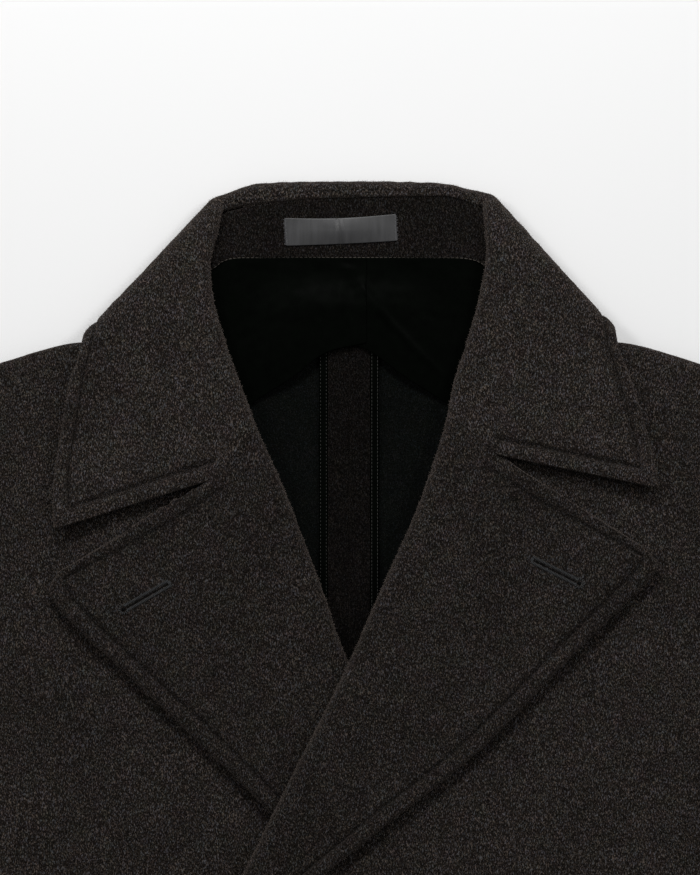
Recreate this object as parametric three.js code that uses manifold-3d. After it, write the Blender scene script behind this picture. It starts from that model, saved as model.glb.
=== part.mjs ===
// A double-breasted pea coat laid flat on its back, buttoned over, seen from above its neck.
// Millimetres, +Z up off the surface it lies on, +Y towards the collar, +X towards its left sleeve.
// Left and right are the wearer's, so the left front is on the +X side and laps over the right one.
import * as THREE from "three";
import { mergeVertices } from "three/addons/utils/BufferGeometryUtils.js";
import Module from "manifold-3d";

// Driving dimensions. Y is measured from the neck seam at the centre of the back.
const CLOTH = 2.4; // one layer of melton
const DOUBLE = 4.0; // two layers sewn together, as in the collar and the lapels
const LINING = 1.0;
const GAP = 0.3; // between sewn pieces
const BODY_HEIGHT = 12.6; // of the right front's outer face above the surface
const COLLAR_TOP = 40.6;
const HEM_Y = -750;
const HALF_LAP = 93.6; // the front edges pass the centre by this much
const BREAK_Y = -397.8; // where the lapels begin to turn
const APEX_Y = -211; // where the two roll lines cross, on the centre line
const SHOULDER = { x: 232, y: -72 };
const UNDERARM = { x: 280, y: -300 };
const HEM_X = 286;
const SLEEVE_INSEAM = 440;
const SLEEVE_SPLAY = THREE.MathUtils.degToRad(27);
const CUFF_WIDTH = 145;
const ROLL = 3.2; // radius of the middle of the cloth where the collar and the lapels turn over
const EDGE_ROLL = 5; // width of the rounded edge along a side seam
const HIDDEN_EDGE = -27; // the collar's free edge under the back, at the centre
const CROSSING_X = 137; // where that edge comes round to the front
const BUTTON_RADIUS = 14.5;
const BUTTON_THICKNESS = 4.4;

const frontMid = BODY_HEIGHT - CLOTH / 2;
const centre = new THREE.Vector3(0, -(HEM_Y + COLLAR_TOP) / 2, 0);

const smooth = (t) => THREE.MathUtils.smoothstep(t, 0, 1);
const mix = THREE.MathUtils.lerp;

// Turns rows of numbers into rows with named columns.
function table(columns, rows) {
  const names = columns.split(" ");
  return rows.map((row) => Object.fromEntries(row.map((value, i) => [names[i], value])));
}

// A smooth function of t through one column of a table that has a column t.
function through(rows, column) {
  const slope = (i) => {
    const a = rows[Math.max(i - 1, 0)];
    const b = rows[Math.min(i + 1, rows.length - 1)];
    return (b[column] - a[column]) / (b.t - a.t);
  };
  return (t) => {
    let i = 0;
    while (i < rows.length - 2 && t > rows[i + 1].t) i++;
    const step = rows[i + 1].t - rows[i].t;
    const s = (t - rows[i].t) / step;
    const straight = mix(rows[i][column], rows[i + 1][column], s);
    const rise = rows[i + 1][column] - rows[i][column];
    const start = slope(i) * step - rise;
    const end = slope(i + 1) * step - rise;
    return straight + s * (1 - s) * ((1 - s) * start - s * end);
  };
}

const plan = (x, y) => new THREE.Vector3(x, y, 0);
const bend = (points) => new THREE.CatmullRomCurve3(points, false, "centripetal");
const line = (a, b) => new THREE.LineCurve3(a, b);

// Joins curves end to end.
function chain(...curves) {
  const path = new THREE.CurvePath();
  curves.forEach((curve) => path.add(curve));
  return path;
}

// The point at a share of a curve's length.
const on = (curve, share) => (curve.curves ? curve.getPoint(share) : curve.getPointAt(share));

// A closed wall of the given thickness whose middle passes through a grid of points.
function wall(grid, thickness) {
  const rows = grid.length;
  const cols = grid[0].length;
  const change = (at, i, last) => {
    if (i === 0) return at(0).clone().multiplyScalar(-3).addScaledVector(at(1), 4).sub(at(2));
    if (i === last) {
      return at(last).clone().multiplyScalar(3).addScaledVector(at(last - 1), -4).add(at(last - 2));
    }
    return at(i + 1).clone().sub(at(i - 1));
  };
  const positions = [];
  for (const side of [1, -1]) {
    for (let i = 0; i < rows; i++) {
      for (let j = 0; j < cols; j++) {
        const along = change((k) => grid[k][j], i, rows - 1);
        const across = change((k) => grid[i][k], j, cols - 1);
        const normal = across.cross(along).normalize();
        positions.push(...grid[i][j].clone().addScaledVector(normal, (side * thickness) / 2).toArray());
      }
    }
  }
  const index = [];
  const under = rows * cols;
  const quad = (a, b, c, d) => index.push(a, b, c, a, c, d);
  for (let i = 0; i < rows - 1; i++) {
    for (let j = 0; j < cols - 1; j++) {
      const a = i * cols + j;
      quad(a, a + 1, a + cols + 1, a + cols);
      quad(under + a, under + a + cols, under + a + cols + 1, under + a + 1);
    }
  }
  const border = [];
  for (let j = 0; j < cols - 1; j++) border.push(j);
  for (let i = 0; i < rows - 1; i++) border.push(i * cols + cols - 1);
  for (let j = cols - 1; j > 0; j--) border.push((rows - 1) * cols + j);
  for (let i = rows - 1; i > 0; i--) border.push(i * cols);
  border.forEach((a, k) => {
    const b = border[(k + 1) % border.length];
    quad(b, a, under + a, under + b);
  });
  const geometry = new THREE.BufferGeometry();
  geometry.setAttribute("position", new THREE.Float32BufferAttribute(positions, 3));
  geometry.setIndex(index);
  return faceOut(geometry);
}

// Turns a closed geometry's faces outwards.
function faceOut(geometry) {
  const p = geometry.getAttribute("position");
  const index = geometry.getIndex();
  const corner = (k) => new THREE.Vector3().fromBufferAttribute(p, index.getX(k));
  let volume = 0;
  for (let k = 0; k < index.count; k += 3) {
    volume += corner(k).dot(corner(k + 1).cross(corner(k + 2)));
  }
  if (volume < 0) index.array.reverse();
  return geometry;
}

// Places across a piece from 0 to 1. Where an end turns down to a seam, extra places follow the
// turn: drop is 1 at the seam and 0 where the cloth is flat again.
function places(count, turn, turnsAtStart, turnsAtEnd) {
  const turnSteps = 3;
  const arc = [];
  for (let k = 0; k < turnSteps; k++) {
    const angle = (k / turnSteps) * (Math.PI / 2);
    arc.push({ at: turn * (1 - Math.cos(angle)), drop: 1 - Math.sin(angle) });
  }
  const from = turnsAtStart ? turn : 0;
  const to = turnsAtEnd ? 1 - turn : 1;
  const list = turnsAtStart ? [...arc] : [];
  for (let k = 0; k <= count; k++) list.push({ at: mix(from, to, k / count), drop: 0 });
  if (turnsAtEnd) [...arc].reverse().forEach(({ at, drop }) => list.push({ at: 1 - at, drop }));
  return list;
}

// A panel between four curves. The left and right curves run from the top to the bottom, the top
// and bottom ones from left to right. height gives the middle of the cloth, seam the height of its
// turned edges. A place's side says how far the right edge turns down in that row. fade says how
// soon the rows lose the curve of the top edge.
function panel({ left, right, top, bottom, rows, cols, height, ...options }) {
  const { seam = height, turnTop = () => 1, fade = 1 } = options;
  const bulge = (edge, share, u) => on(edge, u).sub(on(left, share).lerp(on(right, share), u));
  return rows.map((row) =>
    cols.map((col) => {
      const u = col.at;
      const v = row.at;
      const point = on(left, v).lerp(on(right, v), u);
      point.addScaledVector(bulge(top, 0, u), (1 - v) ** fade).addScaledVector(bulge(bottom, 1, u), v);
      const drop = Math.max(row.drop * turnTop(u), col.drop * (row.side ?? 1));
      point.z = mix(height(point.x, point.y), seam(point.x, point.y), drop);
      return point;
    }),
  );
}

// The height of a grid of points above or below a place, so that a piece can lie on it.
function heightOn(grid, otherwise) {
  const triangles = [];
  for (let i = 0; i < grid.length - 1; i++) {
    for (let j = 0; j < grid[0].length - 1; j++) {
      const [a, b, c, d] = [grid[i][j], grid[i][j + 1], grid[i + 1][j + 1], grid[i + 1][j]];
      triangles.push(new THREE.Triangle(a, b, c), new THREE.Triangle(a, c, d));
    }
  }
  const flatten = (p) => plan(p.x, p.y);
  const flat = triangles.map(({ a, b, c }) => new THREE.Triangle(flatten(a), flatten(b), flatten(c)));
  const share = new THREE.Vector3();
  return (x, y) => {
    const place = plan(x, y);
    const found = flat.findIndex((triangle) => triangle.containsPoint(place));
    if (found < 0) return otherwise(x, y);
    const { a, b, c } = triangles[found];
    flat[found].getBarycoord(place, share);
    return a.z * share.x + b.z * share.y + c.z * share.z;
  };
}

// Heights of the middle of each layer.

// The back rises over the part of the collar that lies under it.
const COLLAR_RAMP = { from: -78, length: 66, beyondCrossing: 66, sideLength: 52 };
const UNDER_BACK = DOUBLE + GAP + 0.2; // height of the collar's leaf, with a little room
function backZ(x, y) {
  const { from, length, beyondCrossing, sideLength } = COLLAR_RAMP;
  const edge = HIDDEN_EDGE - 20 * (x / CROSSING_X) ** 2;
  const inLength = smooth((y - edge - from) / length);
  const inWidth = smooth((CROSSING_X + beyondCrossing - Math.abs(x)) / sideLength);
  return CLOTH / 2 + UNDER_BACK * inLength * inWidth;
}

const rightFrontZ = () => frontMid;

// The left front rises over the right lapel and, below it, over the right front.
const OVER_LAPEL = { height: 9.5, from: 5, length: 110 };
const OVER_FRONT = { height: CLOTH + GAP, from: HALF_LAP + 30, length: 70 };
const BELOW_BREAK = { from: -112, length: 70 };
function leftFrontZ(x, y) {
  const breakWidth = Math.hypot(HALF_LAP, BREAK_Y - APEX_Y);
  const beyondRoll = (x * (APEX_Y - BREAK_Y) + (y - APEX_Y) * HALF_LAP) / breakWidth;
  const fall = (ramp, at) => ramp.height * (1 - smooth((at - ramp.from) / ramp.length));
  const upper = fall(OVER_LAPEL, beyondRoll);
  const lower = fall(OVER_FRONT, x);
  return frontMid + mix(lower, upper, smooth((y - BREAK_Y - BELOW_BREAK.from) / BELOW_BREAK.length));
}

const frontZ = (side) => (side < 0 ? rightFrontZ : leftFrontZ);

// The seam between a front and the back lies half-way between them.
const seamZ = (side, away) => (x, y) => (frontZ(side)(x, y) + backZ(x, y)) / 2 + away;

// The collar, from the right notch (t = 0) round the back of the neck to the left one (t = 12).
// Between t = 4 and 5, and again between 7 and 8, it turns from the top of the coat to its
// underside. roll is the middle of the turned-over edge, edge the free edge.
const COLLAR = table("t rollX rollY edgeX edgeY", [
  [0, -52.1, -91.9, -153.4, -141],
  [1, -62, -65.5, -153.6, -117],
  [2, -70, -42.7, -149.7, -90],
  [3, -76, -18.9, -145.4, -65],
  [3.5, -76, 0, -142.2, -55.5],
  [4, -69.5, 17, -138, -47.4],
  [5, -66, 28.6, -122, -38],
  [5.3, -56, 34, -92, -32],
  [6, 0, 35.4, 0, -27],
  [6.7, 56, 34.4, 92, -32],
  [7, 69, 30.2, 122, -36],
  [8, 73, 19.5, 138, -43],
  [8.5, 76, 2, 142, -52],
  [9, 73, -19.5, 147.5, -66],
  [10, 66.5, -44, 153.5, -86],
  [11, 59.5, -66, 158.2, -104],
  [12, 55.9, -84.6, 161, -119.5],
]);
const NOTCH = { right: plan(-68.6, -114.4), left: plan(77, -102.3) };
const NOTCH_SHARE = 0.18; // of the collar's width, from the roll to the notch

// The lapels, from the gorge seam (t = 0) down to the break. roll is the visible edge.
const RIGHT_LAPEL = table("t rollX rollY edgeX edgeY radius", [
  [0, -47.2, -90.6, -151.5, -163.5, 3.2],
  [0.4, -42.6, -100.4, -155.5, -173, 3.2],
  [1, -32.8, -122.7, -145, -188.5, 3.2],
  [2, -13, -175, -107, -224.1, 2.8],
  [3, 0, -211, -57.7, -271.4, 2.3],
  [4, 45, -301, 0, -329, 2.3],
  [5, 86, -383, 70, -391, 2.3],
]);
const LEFT_LAPEL = table("t rollX rollY edgeX edgeY radius", [
  [0, 50.7, -84.6, 155, -151.5, 3.2],
  [0.4, 46.3, -99.3, 160, -161.5, 3.2],
  [1, 35.7, -129.5, 144.6, -178.4, 3.2],
  [2, 16.1, -173.2, 111, -211.6, 3.2],
  [3, -3, -216, 66.4, -256.4, 3.2],
  [4, -32.2, -274, 16.6, -295.9, 3.2],
  [5, -60, -330, -31, -336, 3.0],
  [6, -88, -386.5, -72, -383, 2.4],
]);

// One section of a turned-over piece: the run on the neck side, the half-round roll and the leaf.
// out points away from the coat's inside, along runs from the roll to the free edge.
const ROLL_STEPS = 6;
function turnedSection({ roll, out, along, radius, run, leaf }) {
  const at = (a, b) => roll.clone().addScaledVector(out, a).addScaledVector(along, b);
  const section = [at(-radius, run), at(-radius, run / 2)];
  for (let k = 0; k <= ROLL_STEPS; k++) {
    const angle = (k / ROLL_STEPS) * Math.PI;
    section.push(at(-radius * Math.cos(angle), -radius * Math.sin(angle)));
  }
  return section.concat(leaf);
}

const LEAF_PLACES = [NOTCH_SHARE, 0.34, 0.5, 0.66, 0.84, 1];
const FACE = (DOUBLE + CLOTH) / 2 + GAP; // from the middle of a front to that of a leaf on it

const collarColumn = Object.fromEntries(
  ["rollX", "rollY", "edgeX", "edgeY"].map((name) => [name, through(COLLAR, name)]),
);

// How far round the collar has turned to the underside: 0 on top, half a turn underneath.
function collarTurn(t) {
  const share = t < 6 ? t - 4 : 8 - t;
  return Math.PI * THREE.MathUtils.clamp(share, 0, 1);
}

const OUTWARD = { x: 0.745, y: 0.667 }; // the way the collar turns over at the shoulders
const RUN = { atSides: 5.2, atBack: 2, least: 0.2 }; // of cloth between the roll and the stand
function collarSection(t) {
  const side = t < 6 ? -1 : 1;
  const turn = collarTurn(t);
  const roll = plan(collarColumn.rollX(t), collarColumn.rollY(t));
  const edge = plan(collarColumn.edgeX(t), collarColumn.edgeY(t));
  const along = edge.clone().sub(roll).normalize();
  const outward = plan(side * OUTWARD.x, OUTWARD.y);
  const out = outward.clone().multiplyScalar(Math.sin(turn));
  out.z = Math.cos(turn);
  const carried = frontZ(side);
  const turned = (point, above, below) => {
    const middle = (above + below) / 2;
    const reach = (above - below) / 2;
    const moved = point.clone().addScaledVector(outward, reach * Math.sin(turn));
    return moved.setZ(middle + reach * Math.cos(turn));
  };
  const rollPoint = turned(roll, carried(roll.x, roll.y) + ROLL, DOUBLE / 2 + ROLL);
  const edgePoint = turned(edge, carried(edge.x, edge.y) + FACE, DOUBLE / 2);
  const start = rollPoint.clone().addScaledVector(out, ROLL);
  const notch = side < 0 ? NOTCH.right : NOTCH.left;
  const fromNotch = side < 0 ? t : 12 - t;
  const pull = Math.max(0, 1 - fromNotch) ** 2;
  const onLine = start.clone().lerp(edgePoint, NOTCH_SHARE);
  const leaf = LEAF_PLACES.map((c) => {
    const point = start.clone().lerp(edgePoint, c);
    const share = pull * Math.min(c / NOTCH_SHARE, (1 - c) / (1 - NOTCH_SHARE));
    point.x += share * (notch.x - onLine.x);
    point.y += share * (notch.y - onLine.y);
    if (turn === 0) point.z = carried(point.x, point.y) + leafLift(c, ROLL);
    return point;
  });
  const underneath = smooth((Math.sin(turn / 2) - 0.75) / 0.25);
  const run = RUN.least + mix(RUN.atSides, RUN.atBack, smooth((t - 5) / 2)) * underneath;
  return turnedSection({ roll: rollPoint, out, along, radius: ROLL, run, leaf });
}

// A leaf stands high at its roll and lies on the front towards its free edge.
const leafLift = (c, radius) => FACE + (2 * radius - FACE) * (1 - smooth(c / 0.7));

function collar() {
  const stations = [];
  const steps = [
    { from: 0, to: 4, count: 10 },
    { from: 4, to: 5, count: 7 },
    { from: 5, to: 7, count: 8 },
    { from: 7, to: 8, count: 7 },
    { from: 8, to: 12, count: 10 },
  ];
  for (const { from, to, count } of steps) {
    for (let k = 0; k < count; k++) stations.push(mix(from, to, k / count));
  }
  stations.push(12);
  return wall(stations.map(collarSection), DOUBLE);
}

// The middle of a lapel's roll, and the direction from it to the lapel's edge.
function lapelRoll(rows, t) {
  const column = (name) => through(rows, name)(t);
  const roll = plan(column("rollX"), column("rollY"));
  const edge = plan(column("edgeX"), column("edgeY"));
  const radius = column("radius");
  const along = edge.clone().sub(roll).normalize();
  const middle = roll.addScaledVector(along, radius + DOUBLE / 2);
  return { middle, along, edge, radius };
}

function lapel(side, rows) {
  const carried = frontZ(side);
  const last = rows[rows.length - 1].t;
  const notch = (side < 0 ? NOTCH.right : NOTCH.left).clone().add(plan(side * 1.4, -4));
  const grid = [];
  const count = 20;
  for (let k = 0; k <= count; k++) {
    const t = (k / count) * last;
    const { middle, along, edge, radius } = lapelRoll(rows, t);
    const roll = middle.clone().setZ(carried(middle.x, middle.y) + radius);
    const pull = Math.max(0, 1 - t / 0.8) ** 2;
    const onLine = middle.clone().lerp(edge, NOTCH_SHARE);
    const leaf = LEAF_PLACES.map((c) => {
      const point = middle.clone().lerp(edge, c);
      const share = pull * Math.min(c / NOTCH_SHARE, (1 - c) / (1 - NOTCH_SHARE));
      point.x += share * (notch.x - onLine.x);
      point.y += share * (notch.y - onLine.y);
      return point.setZ(carried(point.x, point.y) + leafLift(c, radius));
    });
    grid.push(turnedSection({ roll, out: plan(0, 0).setZ(1), along, radius, run: RUN.least, leaf }));
  }
  return wall(grid, DOUBLE);
}

// Seam lines of the body and the sleeves, on one side (-1 right, 1 left).

const ARMHOLE = table("x y", [
  [SHOULDER.x, SHOULDER.y],
  [220, -125],
  [221, -175],
  [236, -220],
  [262, -264],
  [UNDERARM.x, UNDERARM.y],
]);
const SIDE = table("x y", [
  [UNDERARM.x, UNDERARM.y],
  [268, -450],
  [HEM_X, HEM_Y],
]);
const along = (rows, side, shiftX = 0) => bend(rows.map(({ x, y }) => plan(side * (x + shiftX), y)));

const shoulderNeck = (side) => plan(side * 80, -21);
const shoulderSeam = (side) =>
  bend([
    shoulderNeck(side),
    plan(side * 115, -38),
    plan(side * 132, -46.4),
    plan(side * 150, -47.5),
    plan(side * SHOULDER.x, SHOULDER.y),
  ]);

const armPlaces = places(7, EDGE_ROLL / 240, true, true);

// Rows of a body panel: the places of the armhole, shared with the sleeve, then the side seam.
function bodyRows(side, sideRows) {
  const armhole = along(ARMHOLE, side).getLength();
  const share = armhole / (armhole + along(SIDE, side).getLength());
  const middle = armPlaces.length / 2;
  const list = armPlaces.map(({ at, drop }, k) => ({
    at: at * share,
    drop: k < middle ? drop : 0,
    side: k < middle ? 0 : drop,
  }));
  for (let k = 1; k <= sideRows; k++) list.push({ at: mix(share, 1, k / sideRows), drop: 0, side: 1 });
  return list;
}

const bodyEdge = (side) => chain(along(ARMHOLE, side), along(SIDE, side));

// A front: its inner edge follows the rolls of the collar and the lapel, then the front edge.
function front(side, lapelRows) {
  const inset = 1.5;
  const inner = [];
  const collarTs = side < 0 ? [2.5, 1.9, 1.3, 0.7, 0.2] : [9.6, 10.1, 10.7, 11.3, 11.8];
  for (const t of collarTs) {
    const roll = plan(collarColumn.rollX(t), collarColumn.rollY(t));
    const edge = plan(collarColumn.edgeX(t), collarColumn.edgeY(t));
    inner.push(roll.addScaledVector(edge.sub(roll).normalize(), inset));
  }
  const last = lapelRows[lapelRows.length - 1].t;
  for (let t = 0.5; t <= last; t += 0.5) {
    const roll = lapelRoll(lapelRows, t);
    inner.push(roll.middle.addScaledVector(roll.along, inset));
  }
  const frontEdge = -side * HALF_LAP;
  const corner = plan(frontEdge, BREAK_Y - 8);
  const hem = plan(frontEdge, HEM_Y);
  const neck = shoulderNeck(side);
  const left = chain(bend([neck, ...inner]), line(inner[inner.length - 1], corner), line(corner, hem));
  return panel({
    left,
    right: bodyEdge(side),
    top: shoulderSeam(side),
    bottom: line(hem, plan(side * HEM_X, HEM_Y)),
    rows: bodyRows(side, 7),
    cols: places(9, EDGE_ROLL / 300, false, true),
    height: frontZ(side),
    seam: seamZ(side, GAP / 2 + 0.1),
  });
}

const NECK_X = 76; // half of the neck seam as it lies

function neckLine(side, drop, inner) {
  return bend([plan(side * inner, -drop), plan(side * 40, -drop), plan(side * NECK_X, -drop - 6)]);
}

function back(side) {
  const neck = neckLine(side, GAP, 0.6);
  const seam = shoulderSeam(side);
  const top = chain(neck, line(on(neck, 1), on(seam, 0)), seam);
  const neckShare = (neck.getLength() + 8) / top.getLength();
  const left = line(on(top, 0), plan(side * 0.6, HEM_Y));
  return panel({
    left,
    right: bodyEdge(side),
    top,
    bottom: line(on(left, 1), plan(side * HEM_X, HEM_Y)),
    rows: bodyRows(side, 7),
    cols: places(10, EDGE_ROLL / 260, false, true),
    height: backZ,
    seam: seamZ(side, -GAP / 2 - 0.1),
    turnTop: (u) => smooth((u - neckShare + 0.02) / 0.04),
  });
}

// The pieces inside, on the back.

const backGrids = { "-1": back(-1), "1": back(1) };
const onBack = { "-1": heightOn(backGrids[-1], backZ), "1": heightOn(backGrids[1], backZ) };
const insideZ = (x, y, above) => onBack[x < 0 ? -1 : 1](x, y) + CLOTH / 2 + GAP + above;

function strip({ x0, x1, yTop, yEnd, thickness, above = 0 }) {
  const rows = [];
  const count = 14;
  for (let k = 0; k <= count; k++) {
    const y = mix(yTop, yEnd, (k / count) ** 2);
    rows.push([0, 0.5, 1].map((u) => {
      const x = mix(x0, x1, u);
      return new THREE.Vector3(x, y, insideZ(x, y, above + thickness / 2));
    }));
  }
  return wall(rows, thickness);
}

const SEAM_ALLOWANCE = 11;
const BINDING_WIDTH = 4.6;
const BINDING_THICKNESS = 3;

function seamAllowance(side) {
  const x1 = side * SEAM_ALLOWANCE;
  return strip({ x0: side * 0.6, x1, yTop: -36, yEnd: HEM_Y + 12, thickness: CLOTH });
}

function seamBinding(side) {
  const x0 = side * (SEAM_ALLOWANCE + GAP);
  const x1 = x0 + side * BINDING_WIDTH;
  return strip({ x0, x1, yTop: -36, yEnd: HEM_Y + 12, thickness: BINDING_THICKNESS });
}

// Half of the yoke lining: its lower edge is an arch from the centre back to the armhole. The
// right half passes over the left one at the centre.
const ARCH = table("x y", [
  [12, -49],
  [29, -61.5],
  [53, -77],
  [100, -115],
  [160, -166],
  [218, -220],
]);

function yokeLining(side) {
  const lap = side < 0 ? -9 : 1.2;
  const drop = 0.4;
  const at = ([x, y]) => plan(side * x, y);
  const neckEnd = [74, -9];
  const shoulder = [220, -80];
  const neck = bend([[lap, -drop], [40, -drop], neckEnd].map(at));
  const armhole = bend([shoulder, [209, -125], [210, -175], [218, -220]].map(at));
  const top = chain(neck, bend([neckEnd, [84, -30], [128, -52], shoulder].map(at)));
  const left = line(at([lap, -drop]), at([lap, -44]));
  const arch = bend([on(left, 1), ...ARCH.map(({ x, y }) => at([x, y]))]);
  return wall(
    panel({
      left,
      right: armhole,
      top,
      bottom: arch,
      rows: places(8, 0, false, false),
      cols: places(12, 0, false, false),
      height: (x, y) => {
        const nearSeam = smooth((60 - Math.abs(x)) / 34) * smooth((-y - 6) / 22);
        const onSeam = (BINDING_THICKNESS + 0.6) * nearSeam;
        const onHalf = side < 0 ? (LINING + GAP + 0.3) * smooth((x + 40) / 24) : 0;
        return insideZ(x, y, LINING / 2 + 0.2 + onSeam + onHalf);
      },
    }),
    LINING,
  );
}

// The stand, between the neck seam and the seam under the collar's top fold.

const STAND_TOP = table("x y", [
  [-66, 19],
  [-55, 26],
  [-40, 28.4],
  [0, 30.8],
  [40, 32.2],
  [56, 30.4],
  [68, 21.5],
]);
const STAND_LOW = table("x y", [
  [-70, -5],
  [-60, 0],
  [-40, 0.6],
  [40, 0.6],
  [60, 0],
  [70, -3],
]);

const standTop = bend(STAND_TOP.map(({ x, y }) => plan(x, y)));
const standLow = bend(STAND_LOW.map(({ x, y }) => plan(x, y)));

function standPoint(u, v) {
  const point = on(standLow, u).lerp(on(standTop, u), v);
  const atEnd = smooth((Math.abs(point.x) - 58) / 12);
  return point.setZ(6.5 + 1.6 * v + 2.2 * atEnd);
}

function surface(rows, cols, at, thickness) {
  const grid = [];
  for (let i = 0; i <= rows; i++) {
    grid.push([]);
    for (let j = 0; j <= cols; j++) grid[i].push(at(i / rows, j / cols));
  }
  return wall(grid, thickness);
}

const collarStand = () => surface(5, 18, (v, u) => standPoint(u, v), CLOTH);

const LABEL_THICKNESS = 1;
function label() {
  const from = { u: 0.26, v: 0.2 };
  const to = { u: 0.68, v: 0.7 };
  return surface(
    3,
    8,
    (v, u) => {
      const point = standPoint(mix(from.u, to.u, u), mix(from.v, to.v, v));
      point.z += (CLOTH + LABEL_THICKNESS) / 2 + GAP;
      return point;
    },
    LABEL_THICKNESS,
  );
}

// Sleeves: an upper and an under piece, joined along the outer fold and the inner seam. At the
// underarm they are eased away from the rounded side of the body.

const sleeveDown = plan(Math.sin(SLEEVE_SPLAY), -Math.cos(SLEEVE_SPLAY));
const sleeveAcross = plan(Math.cos(SLEEVE_SPLAY), Math.sin(SLEEVE_SPLAY));

// The fold at the top of the sleeve, from the shoulder over its cap to the elbow.
const SLEEVE_FOLD = table("x y", [
  [SHOULDER.x, SHOULDER.y],
  [290, -86],
  [348, -118],
  [394, -166],
  [427, -225],
  [520, -418],
]);

function sleeve(side, layer) {
  const away = 0.5;
  const mirror = (p) => plan(side * (p.x + away), p.y);
  const pit = plan(UNDERARM.x, UNDERARM.y);
  const cuffIn = pit.clone().addScaledVector(sleeveDown, SLEEVE_INSEAM);
  const cuffOut = cuffIn.clone().addScaledVector(sleeveAcross, CUFF_WIDTH);
  const outerFold = [...SLEEVE_FOLD.map(({ x, y }) => plan(x, y)), cuffOut];
  const height = () => (layer > 0 ? frontMid : CLOTH / 2);
  const seam = () => (frontMid + CLOTH / 2) / 2 + layer * (GAP / 2 + 0.1);
  const grid = panel({
    left: bend(outerFold.map(mirror)),
    right: line(mirror(pit), mirror(cuffIn)),
    top: along(ARMHOLE, side, away),
    bottom: line(mirror(cuffOut), mirror(cuffIn)),
    rows: places(11, 0, false, false).map((place) => ({ ...place, at: place.at ** 1.5 })),
    cols: armPlaces,
    height,
    seam,
    fade: 9,
  });
  const easeReach = 16;
  for (const point of grid.flat()) {
    const fromPit = Math.hypot(Math.abs(point.x) - UNDERARM.x, point.y - UNDERARM.y);
    point.x += side * CLOTH * Math.exp(-((fromPit / easeReach) ** 2));
  }
  return wall(grid, CLOTH);
}

// Buttons and pocket welts on the fronts.

const wasm = await Module();
wasm.setup();

function toSolid(geometry) {
  const bare = geometry.clone();
  bare.deleteAttribute("normal");
  bare.deleteAttribute("uv");
  const merged = mergeVertices(bare, 1e-4);
  return new wasm.Manifold(
    new wasm.Mesh({
      numProp: 3,
      vertProperties: merged.attributes.position.array,
      triVerts: new Uint32Array(merged.index.array),
    }),
  );
}

function fromSolid(solid) {
  const mesh = solid.getMesh();
  const geometry = new THREE.BufferGeometry();
  geometry.setAttribute("position", new THREE.Float32BufferAttribute(mesh.vertProperties, 3));
  geometry.setIndex([...mesh.triVerts]);
  return geometry;
}

function buttonGeometry() {
  const r = BUTTON_RADIUS;
  const h = BUTTON_THICKNESS;
  const profile = [
    [0, 0],
    [r - 2, 0],
    [r, 1.6],
    [r, h - 1],
    [r - 1.2, h],
    [r - 3, h - 0.2],
    [r - 4.5, h - 1.4],
    [0, h - 1.6],
  ].map(([x, y]) => new THREE.Vector2(x, y));
  let solid = toSolid(new THREE.LatheGeometry(profile, 16).rotateX(Math.PI / 2));
  const holeRadius = 1.1;
  const holeOffset = 2.2;
  for (const [i, j] of [[1, 1], [1, -1], [-1, 1], [-1, -1]]) {
    const hole = new THREE.CylinderGeometry(holeRadius, holeRadius, 3 * h, 6).rotateX(Math.PI / 2);
    hole.translate(i * holeOffset, j * holeOffset, 0);
    solid = solid.subtract(toSolid(hole));
  }
  return fromSolid(solid);
}

const BUTTON_X = 74;
const BUTTON_ROWS = [-414, -520, -626];

const frontGrids = { "-1": front(-1, RIGHT_LAPEL), "1": front(1, LEFT_LAPEL) };
const onFront = {
  "-1": heightOn(frontGrids[-1], frontZ(-1)),
  "1": heightOn(frontGrids[1], frontZ(1)),
};

// A button lies on the highest place under its rim.
function buttonZ(x, y) {
  const rim = [[0, 0], [1, 0], [-1, 0], [0, 1], [0, -1]];
  const heights = rim.map(([i, j]) => onFront[1](x + i * BUTTON_RADIUS, y + j * BUTTON_RADIUS));
  return Math.max(...heights) + CLOTH / 2 + GAP;
}

const WELT = { length: 168, width: 32, x: 196, y: -520, lean: THREE.MathUtils.degToRad(14) };
function pocketWelt(side) {
  const carried = onFront[side];
  const down = plan(side * Math.sin(WELT.lean), -Math.cos(WELT.lean));
  const across = plan(side * Math.cos(WELT.lean), Math.sin(WELT.lean));
  return surface(
    8,
    3,
    (v, u) => {
      const point = plan(side * WELT.x, WELT.y).addScaledVector(down, (v - 0.5) * WELT.length);
      point.addScaledVector(across, (u - 0.5) * WELT.width);
      return point.setZ(carried(point.x, point.y) + CLOTH + GAP);
    },
    CLOTH,
  );
}

// Materials

const melton = new THREE.MeshStandardMaterial({ color: 0x29241f, roughness: 0.95, metalness: 0 });
const sateen = new THREE.MeshStandardMaterial({ color: 0x050505, roughness: 0.45, metalness: 0 });
const satin = new THREE.MeshStandardMaterial({ color: 0x4c4c4d, roughness: 0.4, metalness: 0 });
const horn = new THREE.MeshStandardMaterial({ color: 0x17130f, roughness: 0.35, metalness: 0 });

const coat = new THREE.Group();
coat.position.copy(centre);

function add(name, geometry, material) {
  const mesh = new THREE.Mesh(geometry, material);
  mesh.name = name;
  coat.add(mesh);
  return mesh;
}

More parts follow.
